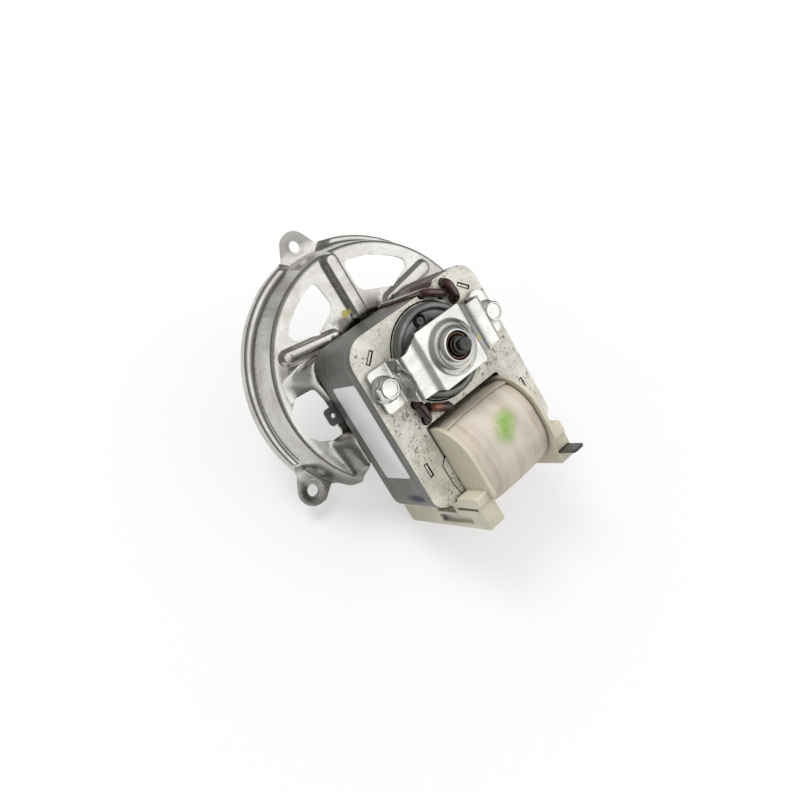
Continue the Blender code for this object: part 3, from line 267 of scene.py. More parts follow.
def add_piece(name, bm, slot, body, replaced=(), smooth=38.0, outward=True, look=None):
    """Turn a bmesh in motor axes into a piece that rides on a body."""
    if outward:
        bmesh.ops.recalc_face_normals(bm, faces=bm.faces[:])
    bm.transform(MOTOR_AXES)
    mesh = bpy.data.meshes.new(name)
    bm.to_mesh(mesh)
    bm.free()
    mesh.materials.append(LOOKS[look or slot])
    mesh.shade_smooth()
    mesh.set_sharp_from_angle(angle=math.radians(smooth))
    piece = link(name, mesh)
    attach(piece, body)
    if replaced:
        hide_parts(*replaced)
    return piece


def sheet_mesh(contours, kept, height):
    """A flat blank cut along contours, then lifted to its height. kept picks the faces that stay."""
    points, edges = [], []
    for contour in contours:
        first = len(points)
        points += [Vector(point) for point in contour]
        edges += [(first + i, first + (i + 1) % len(contour)) for i in range(len(contour))]
    verts, _, faces, *_ = delaunay_2d_cdt(points, edges, [], 0, 0.01)
    flat = np.array([tuple(v) for v in verts])
    faces = [face for face in faces if len(face) == 3]
    corners = flat[np.array(faces)]
    sides = corners[:, 1:] - corners[:, :1]
    turn = sides[:, 0, 0] * sides[:, 1, 1] - sides[:, 0, 1] * sides[:, 1, 0]
    stays = kept(corners.mean(axis=1)) & (np.abs(turn) > 1e-7)
    lifted = height(flat)
    bm = bmesh.new()
    made = {}
    for face, stay, way in zip(faces, stays, turn):
        if not stay:
            continue
        for i in face:
            if i not in made:
                made[i] = bm.verts.new(lifted[i])
        bm.faces.new([made[i] for i in (face if way > 0.0 else face[::-1])])
    return bm


def thicken(piece, thickness):
    """Give a sheet its thickness, away from the side that it was drawn on, with crisp cut edges."""
    solid = piece.modifiers.new("sheet", "SOLIDIFY")
    solid.thickness = thickness * MM
    solid.offset = -1.0
    solid.use_even_offset = True
    solid.use_quality_normals = True
    depsgraph = bpy.context.evaluated_depsgraph_get()
    piece.data = bpy.data.meshes.new_from_object(piece.evaluated_get(depsgraph), depsgraph=depsgraph)
    piece.modifiers.clear()
    piece.data.set_sharp_from_angle(angle=math.radians(CUT_EDGE))


def quads(bm, low, high):
    """Faces between two loops of vertices with equal counts."""
    for i in range(len(low)):
        bm.faces.new((low[i - 1], low[i], high[i], high[i - 1]))


def skin(bm, rings, closed=False, capped=False):
    """Quads between rings of points with equal counts."""
    made = [[bm.verts.new(point) for point in ring] for ring in rings]
    for low, high in zip(made, made[1:] + made[:1] if closed else made[1:]):
        quads(bm, low, high)
    if capped:
        bm.faces.new(made[0])
        bm.faces.new(made[-1])
    return made


def turned_mesh(profile, count=72, closed=True, shift=(0.0, 0.0)):
    """A profile of (radius, w) points spun round an axis along w."""
    bm = bmesh.new()
    skin(bm, [at_level(circle(max(radius, 0.001), count, shift), w) for radius, w in profile], closed)
    bmesh.ops.remove_doubles(bm, verts=bm.verts[:], dist=0.004)
    return bm


def join_mesh(target, other):
    """Move the faces of one bmesh into another."""
    mesh = bpy.data.meshes.new("part")
    other.to_mesh(mesh)
    other.free()
    target.from_mesh(mesh)
    bpy.data.meshes.remove(mesh)


# Looks

class Nodes:
    """Short names for the nodes of a material or a world."""

    def __init__(self, node_tree):
        self.nodes, self.links = node_tree.nodes, node_tree.links

    def put(self, socket, value):
        if isinstance(value, bpy.types.NodeSocket):
            self.links.new(value, socket)
        elif hasattr(value, "__len__") and socket.type == "RGBA" and len(value) == 3:
            socket.default_value = (*value, 1.0)
        else:
            socket.default_value = value

    def add(self, kind, operation=None, **sockets):
        """A new node with its sockets filled. An underscore in a name stands for a space."""
        node = self.nodes.new("ShaderNode" + kind)
        if operation:
            node.operation = operation
        for name, value in sockets.items():
            self.put(node.inputs[name.replace("_", " ")], value)
        return node

    def math(self, operation, first, second=0.0, clamp=False):
        node = self.add("Math", operation)
        node.use_clamp = clamp
        self.put(node.inputs[0], first)
        self.put(node.inputs[1], second)
        return node.outputs[0]

    def times(self, first, second):
        return self.math("MULTIPLY", first, second)

    def vector(self, operation, first, second=None):
        node = self.add("VectorMath", operation)
        self.put(node.inputs[0], first)
        if second is not None:
            self.put(node.inputs[1], second)
        return node.outputs["Value" if operation in ("LENGTH", "DOT_PRODUCT") else "Vector"]

    def spread(self, value, low, high, start=0.0, end=1.0, smooth=False):
        """Map low..high to start..end, clamped."""
        node = self.add("MapRange", Value=value, From_Min=low, From_Max=high, To_Min=start, To_Max=end)
        if smooth:
            node.interpolation_type = "SMOOTHSTEP"
        return node.outputs[0]

    def choose(self, share, first, second):
        return self.add("Mix", Factor=share, A=first, B=second).outputs[0]


class Tree(Nodes):
    """The nodes of one material."""

    def __init__(self, name):
        self.material = bpy.data.materials.new(name)
        self.material.use_nodes = True
        super().__init__(self.material.node_tree)
        self.shader = self.nodes["Principled BSDF"]
        coordinates = self.add("TexCoord")
        self.place = coordinates.outputs["Object"]
        self.normal = coordinates.outputs["Normal"]

    def set(self, **values):
        for name, value in values.items():
            self.put(self.shader.inputs[name.replace("_", " ")], value)

    def stretch(self, scale):
        return self.add("Mapping", Vector=self.place, Scale=scale).outputs[0]

    def noise(self, scale, detail=3.0, rough=0.55, vector=None, warp=0.0):
        return self.add("TexNoise", Vector=vector or self.place, Scale=scale, Detail=detail, Roughness=rough,
                        Distortion=warp).outputs["Fac"]

    def mix(self, share, first, second):
        node = self.add("Mix")
        node.data_type = "RGBA"
        self.put(node.inputs[0], share)
        self.put(node.inputs[6], first)
        self.put(node.inputs[7], second)
        return node.outputs[2]

    def shaders(self, share, first, second):
        """Two shader nodes, mixed."""
        node = self.add("MixShader")
        self.put(node.inputs[0], share)
        self.put(node.inputs[1], first.outputs[0])
        self.put(node.inputs[2], second.outputs[0])
        return node

    def part(self, axis):
        """The object's own coordinate along an axis."""
        return self.add("SeparateXYZ", Vector=self.place).outputs[axis]

    def bump(self, height, strength, distance=0.1 * MM, normal=None):
        node = self.add("Bump", Strength=strength, Distance=distance, Height=height)
        if normal is not None:
            self.put(node.inputs["Normal"], normal)
        return node.outputs[0]

    def spot(self, centre, radius, ragged, scale, flat=(1.0, 1.0, 1.0), core=0.7):
        """A blot of ink or paint round a point, with a ragged edge: 1 inside, 0 outside."""
        place = self.vector("MULTIPLY", self.vector("SUBTRACT", self.place, centre), flat)
        wobble = self.times(self.math("SUBTRACT", self.noise(scale, 4.0, 0.7), 0.5), ragged)
        return self.spread(self.math("ADD", self.vector("LENGTH", place), wobble), radius, radius * core)

    def occlusion_shade(self, reach=2.5 * MM):
        """Painted shade: 0 in the open to 1 in hollows and corners, as the ambient occlusion finds them."""
        node = self.add("AmbientOcclusion", Distance=reach)
        node.samples = 6
        return self.math("SUBTRACT", 1.0, node.outputs["AO"])


def sheet_metal(name, bright, tarnish, roughness, streak, spots=(), hollow_shade=0.5, blotches=60.0, low_shade_and_dark_ears=False):
    """Bare or plated sheet: blotched tone, fine drawing streaks, painted shade in its corners and paint
    spots.
    """
    tree = Tree(name)
    blotch = tree.spread(tree.noise(blotches, 6.0, 0.65, warp=0.8), 0.38, 0.62)
    fine = tree.noise(900.0, 4.0, 0.7)
    lines = tree.noise(1.0, 3.0, 0.7, tree.stretch((1300.0, 60.0, 1300.0)))
    colour = tree.mix(blotch, bright, tarnish)
    colour = tree.mix(tree.spread(fine, 0.6, 0.72, 0.0, 0.55), colour, [c * 0.35 for c in tarnish])
    # Painted shade: darker in hollows and corners, from ambient occlusion.
    hollow = tree.times(tree.spread(tree.occlusion_shade(), 0.42, 0.9), hollow_shade)
    colour = tree.mix(hollow, colour, [c * s for c, s in zip(tarnish, (0.26, 0.235, 0.21))])
    # Painted shade and painted dark reflection: the plate darkens towards its low side. It is also darker on
    # its ears.
    if low_shade_and_dark_ears:
        low = tree.math("ADD", tree.part(2), tree.spread(blotch, 0.0, 1.0, 0.004, -0.004))
        colour = tree.mix(tree.spread(low, *LOW_SHADE_LEVELS, 0.0, 0.85), colour, [c * 0.30 for c in tarnish])
        dish = tree.spot((0.0, 0.0, 0.0), EAR_ROOT, 0.0, 300.0, (1.0, 0.0, 1.0), 0.965)
        ears = tree.times(tree.math("SUBTRACT", 1.0, dish), 0.7)
        colour = tree.mix(ears, colour, [c * 0.40 for c in tarnish])
    rough = tree.math("ADD", tree.spread(blotch, 0.0, 1.0, roughness, roughness + 0.14),
                      tree.spread(lines, 0.3, 0.7, -0.04, 0.07))
    metal = 1.0
    for centre, radius, paint in spots:
        mask = tree.spot(centre, radius, radius * 1.6, 700.0)
        colour = tree.mix(tree.times(mask, 0.85), colour, paint)
        metal = tree.math("SUBTRACT", metal, mask, True)
    tree.set(Base_Color=colour, Roughness=rough, Metallic=metal)
    tree.set(Normal=tree.bump(lines, streak, 0.05 * MM, tree.bump(fine, streak * 0.5, 0.03 * MM)))
    return tree.material


def laminations(name, spots=()):
    """Stacked electrical sheets: pitted faces, and edges that show every sheet."""
    tree = Tree(name)
    facing = tree.math("ABSOLUTE", tree.add("SeparateXYZ", Vector=tree.normal).outputs[1])
    on_face = tree.spread(facing, 0.6, 0.8)
    pits = tree.noise(1300.0, 4.0, 0.75)
    specks = tree.noise(800.0, 4.0, 0.8, warp=0.3)
    grime = tree.spread(tree.noise(130.0, 6.0, 0.7, warp=0.9), 0.42, 0.62)
    face = tree.mix(grime, (0.78, 0.765, 0.685), (0.60, 0.585, 0.51))
    face = tree.mix(tree.spread(pits, 0.57, 0.66, 0.0, 0.8), face, (0.22, 0.205, 0.16))
    dense = tree.spread(tree.noise(70.0, 3.0, 0.6, warp=1.0), 0.40, 0.62, 0.66, 0.56)
    grain = tree.math("GREATER_THAN", specks, dense)
    face = tree.mix(tree.times(grain, 0.85), face, (0.10, 0.088, 0.062))
    stain = tree.times(tree.spread(tree.noise(75.0, 5.0, 0.6, warp=1.2), 0.58, 0.68),
                      tree.spread(specks, 0.45, 0.6))
    face = tree.mix(tree.times(stain, 0.45), face, (0.30, 0.24, 0.15))
    sheets = tree.noise(1.0, 2.0, 0.6, tree.stretch((60.0, 2000.0, 60.0)))
    cloud = tree.spread(tree.noise(60.0, 4.0, 0.6), 0.4, 0.65)
    edge = tree.mix(tree.spread(sheets, 0.32, 0.68), (0.13, 0.13, 0.125), (0.30, 0.30, 0.285))
    edge = tree.mix(tree.times(cloud, 0.5), edge, (0.19, 0.18, 0.165))
    top, right = tree.spread(tree.part(2), *VARNISH_TOP), tree.spread(tree.part(0), *VARNISH_RIGHT)
    varnish = tree.times(tree.times(top, right), tree.spread(tree.noise(150.0, 5.0, 0.6), 0.40, 0.50))
    edge = tree.mix(tree.times(varnish, 0.85), edge, (0.075, 0.032, 0.028))
    colour = tree.mix(on_face, edge, face)
    # Painted shade: near black in hollows and corners, from ambient occlusion.
    colour = tree.mix(tree.spread(tree.occlusion_shade(), 0.3, 0.8, 0.0, 0.85), colour, (0.035, 0.03, 0.025))
    for centre, radius, ink, flat in spots:
        mask = tree.times(tree.spot(centre, radius, radius * 1.4, 500.0, flat, 0.4), 0.85)
        colour = tree.mix(mask, colour, ink)
    tree.set(Base_Color=colour, Metallic=tree.spread(on_face, 0.0, 1.0, 0.8, 0.4))
    tree.set(Roughness=tree.spread(on_face, 0.0, 1.0, 0.42, 0.5))
    groove = tree.bump(sheets, 0.4, 0.08 * MM)
    tree.set(Normal=tree.bump(pits, 0.35, 0.06 * MM, groove))
    return tree.material


def plain(name, colour, shade, roughness, metallic=0.0, grain=500.0, bump=0.2, hollow_shade=0.35, spots=(),
          depth=0.05, **more):
    """A body colour that varies softly, with a fine grain in its bump and gloss."""
    tree = Tree(name)
    cloud = tree.spread(tree.noise(120.0, 4.0, 0.6), 0.35, 0.7)
    fine = tree.noise(grain, 4.0, 0.7)
    body = tree.mix(cloud, colour, shade)
    # Painted shade: darker in hollows and corners, from ambient occlusion.
    hollow = tree.times(tree.spread(tree.occlusion_shade(), 0.3, 0.9), hollow_shade)
    body = tree.mix(hollow, body, [c * 0.35 for c in shade])
    for centre, radius, ink, flat in spots:
        mask = tree.times(tree.spot(centre, radius, radius * 1.2, 600.0, flat, 0.5), 0.85)
        body = tree.mix(mask, body, ink)
    tree.set(Base_Color=body, Metallic=metallic)
    tree.set(Roughness=tree.spread(fine, 0.3, 0.7, roughness - 0.06, roughness + 0.08))
    tree.set(Normal=tree.bump(fine, bump, depth * MM))
    tree.set(**more)
    return tree.material


def tape(name, inks):
    """Beige tape over the winding, wrinkled across its turns, with sprayed ink."""
    tree = Tree(name)
    threads = tree.noise(1.0, 3.0, 0.65, tree.stretch((1500.0, 70.0, 70.0)))
    bands = tree.noise(1.0, 2.0, 0.5, tree.stretch((330.0, 22.0, 22.0)))
    patches = tree.noise(85.0, 4.0, 0.6, warp=0.5)
    fuzz = tree.noise(1500.0, 3.0, 0.7)
    colour = tree.mix(tree.spread(bands, 0.38, 0.62), (0.67, 0.60, 0.51), (0.52, 0.44, 0.36))
    colour = tree.mix(tree.spread(patches, 0.4, 0.65, 0.0, 0.45), colour, (0.74, 0.67, 0.58))
    colour = tree.mix(tree.spread(threads, 0.35, 0.7, 0.0, 0.35), colour, (0.72, 0.66, 0.57))
    # Painted shade: darker brown in hollows and creases, from ambient occlusion.
    colour = tree.mix(tree.spread(tree.occlusion_shade(), 0.3, 0.9, 0.0, 0.6), colour, (0.25, 0.19, 0.13))
    for centre, radius, flat in inks:
        ink = tree.spot(centre, radius, radius * 0.9, 500.0, flat, 0.15)
        colour = tree.mix(tree.times(ink, tree.spread(fuzz, 0.3, 0.6, 0.6, 0.95)),
                          colour, (0.23, 0.44, 0.05))
    tree.set(Base_Color=colour, Roughness=0.72)
    tree.set(Normal=tree.bump(threads, 0.5, 0.08 * MM, tree.bump(fuzz, 0.3, 0.05 * MM)))
    return tree.material


YELLOW = (0.55, 0.45, 0.04)
NAVY = (0.02, 0.03, 0.07)
BLUE = (0.08, 0.13, 0.24)
RUST = (0.17, 0.10, 0.055)
BRASS = (0.50, 0.36, 0.10)
COPPER = (0.30, 0.085, 0.03)
ROUND = (1.0, 1.0, 1.0)
# Painted shade on the plate's low side, and darker ears:
LOW_SHADE_LEVELS = (-0.010, -0.034)          # the plate darkens from the first level down to the second
EAR_ROOT = 51.5 * MM                # and beyond this radius, on its ears
VARNISH_TOP = (0.014, 0.017)        # the stack's varnish lies above this level
VARNISH_RIGHT = (-0.008, 0.006)     # and right of this place

# Paint spots: centre, radius and colour. Ink spots add how much each axis counts.
PLATE_SPOTS = [((-0.0046, -0.0185, 0.0225), 2.0 * MM, YELLOW), ((0.0046, -0.0040, 0.0490), 2.4 * MM, RUST)]
BRIDGE_SPOTS = [((0.0116, -0.0600, -0.0031), 1.9 * MM, YELLOW)]
STACK_INK = [((-0.029, -0.0405, -0.0387), 1.9 * MM, NAVY, (1.0, 0.28, 1.0))]
BOBBIN_INK = [((-0.0180, -0.0340, -0.0520), 3.2 * MM, BLUE, (1.0, 0.5, 0.6))]
TAPE_INK = [((0.0026, -0.0615, -0.0294), 5.0 * MM, ROUND), ((-0.0004, -0.0615, -0.0326), 5.0 * MM, ROUND)]
RING_SPOTS = [((-0.0149, -0.0515, -0.0155), 1.7 * MM, BRASS, ROUND),
              ((-0.0112, -0.0520, -0.0140), 2.6 * MM, COPPER, ROUND)]

LOOKS = {
    "plate_steel": sheet_metal("plate_steel", (0.64, 0.63, 0.60), (0.48, 0.46, 0.425), 0.15, 0.30,
                               PLATE_SPOTS, 0.6, 45.0, low_shade_and_dark_ears=True),
    "lamination": laminations("lamination", STACK_INK),
    "zinc_steel": sheet_metal("zinc_steel", (0.78, 0.78, 0.75), (0.62, 0.61, 0.58), 0.11, 0.12,
                              BRIDGE_SPOTS, 0.8),
    "bobbin_plastic": plain("bobbin_plastic", (0.68, 0.64, 0.51), (0.58, 0.54, 0.42), 0.42, hollow_shade=0.7,
                            spots=BOBBIN_INK),
    "coil_tape": tape("coil_tape", TAPE_INK),
    "insulation_film": plain("insulation_film", (0.66, 0.60, 0.49), (0.56, 0.50, 0.40), 0.38, bump=0.3),
    "copper_wire": plain("copper_wire", (0.60, 0.26, 0.10), (0.45, 0.18, 0.07), 0.35, 1.0),
    "shading_copper": plain("shading_copper", (0.060, 0.020, 0.018), (0.020, 0.008, 0.008), 0.16, 0.2, 300.0,
                            0.6, 0.5, RING_SPOTS, Coat_Weight=0.8, Coat_Roughness=0.10),
    "sintered_bronze": plain("sintered_bronze", (0.17, 0.085, 0.05), (0.065, 0.038, 0.027), 0.42, 0.6, 1200.0,
                             0.5, 0.6),
    "die_cast": plain("die_cast", (0.27, 0.27, 0.265), (0.12, 0.12, 0.12), 0.40, 0.8, 420.0, 1.0, 0.8,
                      depth=0.3),
    "shaft_steel": plain("shaft_steel", (0.14, 0.135, 0.13), (0.055, 0.052, 0.05), 0.34, 1.0, 900.0,
                         0.2, 0.8),
    "tab_steel": plain("tab_steel", (0.16, 0.16, 0.16), (0.09, 0.09, 0.09), 0.36, 0.8, 900.0, 0.2),
    "felt": plain("felt", (0.55, 0.50, 0.40), (0.42, 0.37, 0.28), 0.9, 0.0, 1500.0, 0.9),
    "fibre": plain("fibre", (0.30, 0.22, 0.14), (0.22, 0.15, 0.09), 0.65, 0.0, 900.0, 0.4),
    "label": plain("label", (0.84, 0.84, 0.835), (0.76, 0.76, 0.755), 0.40, 0.15, 700.0, 0.1),
}


def dress_nodes():
    """Every CAD node takes the look of its material slot."""
    slots = {entry["node"]: entry["material_slot"] for entry in frame["record"]["subparts"]}
    for name, node in NODES.items():
        look = LOOKS[slots[name]]
        if node.material_slots:
            for place in node.material_slots:
                place.material = look
        else:
            node.data.materials.append(look)


# The mounting plate

def plate_forms():
    """Every raised form of the web: foot outline, top outline and height above the web."""
    def capsule(start, end, half):
        heading = math.degrees(math.atan2(end[1] - start[1], end[0] - start[0]))
        return (arc(start, half, heading + 90.0, heading + 270.0, 10)
                + arc(end, half, heading - 90.0, heading + 90.0, 10))

    forms = []
    ribs = [((0.0, 17.5), (0.0, WINDOW_RADIUS + 1.8), 3.9, 2.8)]
    ribs += [((side * 13.5, 17.9), (side * 32.5, 21.0), 3.4, 2.0) for side in (1, -1)]
    for start, end, half, rise in ribs:
        forms.append((capsule(start, end, half), capsule(start, end, 0.42 * half), rise))
    left, right = -PAD_OUTSIDE, -PAD_INSIDE
    land = WALL_HEAD - PAD_OUTSIDE
    screw_top = [(left, 15.0), (left, 9.8), (-SCREW_U - 2.9, -5.5), (right, -5.5), (right, 15.0)]
    screw_foot = [(left - 0.68 * land, 15.6), (left - 0.71 * land, 8.6), (-SCREW_U - 5.5, -8.1),
                  (right + PAD_FLANK, -8.1), (right + PAD_FLANK, 17.6)]
    corner_top = [(left, -13.0), (left, -27.0), (right + 0.6, -27.0), (right + 0.6, -13.0)]
    corner_foot = [(left - 0.52 * land, -10.4), (left - 0.35 * land, -28.6), (right + 3.2, -29.4),
                   (right + 3.2, -10.4)]
    for foot, top, height, other in ((screw_foot, screw_top, EARTH_PAD_TOP, PAD_TOP),
                                     (corner_foot, corner_top, PAD_TOP, PAD_TOP)):
        low, high = rounded(foot, 2.4), rounded(top, 1.6)
        forms.append((low, high, height - WEB))
        forms.append((mirrored(low), mirrored(high), other - WEB))
    return forms


def plate_openings():
    reach = WINDOW_RADIUS

    def upper(first, inner):
        corners = [polar(reach, angle) for angle in (first, 67.0, 58.5, 50.5, 44.5)]
        corners += [(u * reach, v * reach) for u, v in ((0.69, 0.626), (0.451, 0.549), (inner, 0.682))]
        return rounded(corners, [2.2, 0.0, 0.0, 0.0, 2.0, 1.5, 1.0, 4.0])

    land = SIDE_WINDOW_RADIUS - PAD_OUTSIDE
    side = [polar(SIDE_WINDOW_RADIUS, angle) for angle in (-7.0, 0.0, 7.0)]
    lower = ((0.67, 8.2), (0.20, 8.0), (0.11, 3.0), (0.05, -6.0), (0.0, -11.2), (0.39, -11.2), (0.70, -9.0))
    side += [(PAD_OUTSIDE + share * land, v) for share, v in lower]
    side = rounded(side, [1.5, 0.0, 1.5, 1.5, 1.5, 0.0, 0.0, 1.5, 1.0, 1.0])
    openings = [upper(83.2, 0.125), mirrored(upper(77.2, 0.185)), side, mirrored(side)]
    openings.append(circle(DOME_HOLE, 48))
    openings += [circle(SCREW_HOLE, 32, (side * SCREW_U, 0.0)) for side in (1, -1)]
    openings += [circle(EAR_HOLE, 40, polar(EAR_PITCH_RADIUS, angle)) for angle in EAR_ANGLES]
    clear = 17.8
    half = [(clear, COIL_WINDOW_TOP + 1.0), (clear, -23.6), (28.6, -23.6), (33.4, -31.0),
            polar(46.0, -41.0), polar(46.0, -36.6), polar(69.5, -36.6), (clear, -69.5)]
    radii = [2.0, 2.0, 2.5, 1.0, 0.0, 0.0, 0.0, 0.0]
    openings.append(rounded(half + mirrored(half), radii + radii[::-1], 5))
    return [refine(outline, 0.8) for outline in openings]


def ear_outline(angle):
    """The blank's outline round one ear: a round tip, with flanks that spread into the rim."""
    root = RIM_RADIUS - 4.5
    spread = math.degrees(EAR_FOOT / root)
    tip = arc(polar(EAR_PITCH_RADIUS, angle), EAR_ROUND, angle - 62.0, angle + 62.0, 28)
    foot = [polar(root + 2.6, angle + spread), polar(root, angle + spread * 0.5)]
    return tip + foot + [polar(root, angle - spread * 0.5), polar(root + 2.6, angle - spread)]


def ear_blend(angle, share):
    """The outline inside which an ear's dip has come down by the given share."""
    grow = 1.0 - share
    spread = math.degrees((EAR_FOOT + 5.0 * grow) / RIM_RADIUS)
    inner, beyond = WALL_FOOT - 0.9 * grow, 66.0
    near = [polar(inner, angle - spread * 0.75 + 1.5 * spread * i / 8) for i in range(9)]
    return near + [polar(RIM_RADIUS, angle + spread), polar(beyond, angle + spread),
                   polar(beyond, angle - spread), polar(RIM_RADIUS, angle - spread)]


def build_plate():
    corners = [(RIM_RADIUS, 1.6), (RIM_RADIUS - 0.5, FLANGE_HEIGHT), (WALL_FOOT, FLANGE_HEIGHT),
               (WALL_HEAD, WEB), (HUB_RADIUS, WEB), (HUB_RADIUS - 3.2, HUB_FACE), (7.16, HUB_FACE),
               (6.86, HUB_FACE - 0.6)]
    line = rounded_open(corners, [0.0, 2.0, 1.4, 2.0, 2.5, 2.0, 1.2, 0.0])
    for step in range(4):
        radius = 6.2 + (DOME_HOLE - 6.2) * step / 3
        line.append((radius, FRONT_SEAT - math.sqrt(DOME_RADIUS ** 2 - radius ** 2)))
    profile = np.array(line[::-1])
    forms, openings = plate_forms(), plate_openings()
    ears = [refine(ear_outline(angle), 0.8) for angle in EAR_ANGLES]
    dips = [(ear_blend(angle, 0.0), ear_blend(angle, 1.0)) for angle in EAR_ANGLES]

    contours = [*openings, *ears]
    for radius in [r for r, _ in line[:-1]] + [41.0, 38.0, 24.0, 12.0]:
        contours.append(circle(radius, max(40, int(6.0 * radius))))
    for foot, top, _ in forms:
        contours += [refine(between(foot, top, share / 7), 1.0) for share in range(8)]
    for foot, top in dips:
        contours += [refine(between(foot, top, share / 5), 1.2) for share in range(6)]
    for angle in EAR_ANGLES:
        contours += [circle(radius, 40, polar(EAR_PITCH_RADIUS, angle)) for radius in (2.7, 3.3, 3.9)]

    def kept(points):
        stays = off_axis(points) < RIM_RADIUS * 0.9995
        for ear in ears:
            stays |= inside(points, ear)
        return stays & clear_of(points, openings)

    def height(points):
        value = np.interp(off_axis(points), profile[:, 0], profile[:, 1])
        value += np.max([rise * flank(points, foot, top) for foot, top, rise in forms], axis=0)
        for foot, top in dips:
            value += (SHEET - value) * flank(points, foot, top)
        for angle in EAR_ANGLES:
            away = np.linalg.norm(points - np.array(polar(EAR_PITCH_RADIUS, angle)), axis=1)
            value -= 0.35 * np.clip((3.9 - away) / 1.2, 0.0, 1.0)
        return np.column_stack([points, value])

    bm = sheet_mesh(contours, kept, height)
    plate = add_piece("pressed_plate", bm, "plate_steel", "frame", ["mounting_plate"], 60.0, False)
    thicken(plate, SHEET)


# The rear bridge: a strap cut flat, then bent along its length and bulged round the bearing

def strap_bend(shoulder, leg, valley, soft):
    """One half of the strap's side view: how far along it each bend lies, and its place."""
    line = [(0.0, BRIDGE_TOP), (9.6, BRIDGE_TOP), valley, (shoulder, BRIDGE_TOP - 1.8),
            (leg, BRIDGE_FOOT), (BRIDGE_HALF, BRIDGE_FOOT)]
    line = rounded_open(line, [0.0, 2.0, soft, 2.2, 0.9, 0.0], 8)
    runs = np.concatenate([[0.0], np.cumsum([math.dist(a, b) for a, b in zip(line, line[1:])])])
    return runs, np.array(line)


def build_bridge():
    """Each half has its own shoulder, leg and hollow round the screw: its centre's v and its radius."""
    halves = {-1: (*strap_bend(18.0, 18.4, (12.4, BRIDGE_TOP - 1.5), 5.0), -1.2, 7.3),
              1: (*strap_bend(20.6, 20.4, (14.8, BRIDGE_TOP - 2.6), 16.0), 0.0, 5.0)}
    left_end, right_end = halves[-1][0][-1], halves[1][0][-1]
    left, right = left_end - 8.4, right_end - 6.4
    plan = [
        (-left_end, 7.0), (-left, 6.9), (-15.0, 6.4), (-9.0, 10.4), (9.0, 10.4), (10.6, 9.4), (15.0, 7.6),
        (right - 5.0, 7.9), (right + 0.6, 8.0), (right + 3.0, 9.0), (right_end, 7.8), (right_end, -7.4),
        (right, -7.4), (10.4, -8.8), (9.0, -10.4), (-9.0, -10.4), (-11.6, -8.9), (3.0 - left, -8.6),
        (-left - 1.0, -7.4), (-left_end, -7.8),
    ]
    radii = [1.5, 3.0, 5.0, 0.7, 0.7, 1.2, 4.0, 3.0, 3.0, 2.0,
             2.0, 1.5, 3.0, 1.2, 0.7, 0.7, 2.5, 3.0, 2.0, 1.5]
    outline = refine(rounded(plan, radii), 0.5)
    screws = [(-left_end + BRIDGE_HALF - SCREW_U, 0.0), (right_end - BRIDGE_HALF + SCREW_U, 0.0)]
    holes = [circle(4.6, 72)] + [circle(SCREW_HOLE, 32, place) for place in screws]
    bulge = np.array([
        (4.6, 3.40), (4.75, 3.62), (5.0, 3.60), (5.4, 3.36), (5.9, 2.98), (6.2, 2.72), (6.3, 2.55),
        (6.36, 1.95), (6.5, 1.78), (7.2, 1.55), (7.8, 1.22), (8.2, 0.86), (8.6, 0.48), (9.0, 0.20),
        (9.4, 0.05), (9.8, 0.0)])
    contours = [outline, *holes]
    contours += [circle(radius, 120) for radius, _ in bulge[1:]]
    for side, (runs, *_) in halves.items():
        contours += [[(side * run, -14.0), (side * run, 14.0), (side * (run + 0.005), 0.0)]
                     for run in runs[1:-1]]
    contours += [circle(radius, 48, place) for place in screws for radius in (4.9, 5.6, 6.3)]
    for v in np.arange(-6.5, 6.6, 0.65):
        contours.append([(-left_end, v), (-11.0, v), (-11.0, v + 0.004)])
        contours.append([(11.0, v), (right_end, v), (right_end, v + 0.004)])

    def kept(points):
        return inside(points, outline) & clear_of(points, holes)

    def height(points):
        v = points[:, 1]
        u, w = np.zeros(len(points)), np.zeros(len(points))
        for side, (runs, line, centre, radius) in halves.items():
            own = np.sign(points[:, 0] + 1e-9) == side
            run = np.abs(points[:, 0])
            away, level = np.interp(run, runs, line[:, 0]), np.interp(run, runs, line[:, 1])
            limit = SCREW_U - np.sqrt(np.clip(radius ** 2 - (v - centre) ** 2, 0.0, None))
            share = np.clip((level - BRIDGE_FOOT - 0.3) / 1.2, 0.0, 1.0)
            away -= share * np.clip(away - limit, 0.0, None) * (run < runs[-1] - 5.0)
            u, w = np.where(own, side * away, u), np.where(own, level, w)
        w += np.interp(off_axis(points), bulge[:, 0], bulge[:, 1])
        return np.column_stack([u, v, w])

    bm = sheet_mesh(contours, kept, height)
    bridge = add_piece("bridge_strap", bm, "zinc_steel", "frame", ["rear_bridge"], 50.0, False)
    thicken(bridge, BRIDGE_SHEET)


# The lamination stack

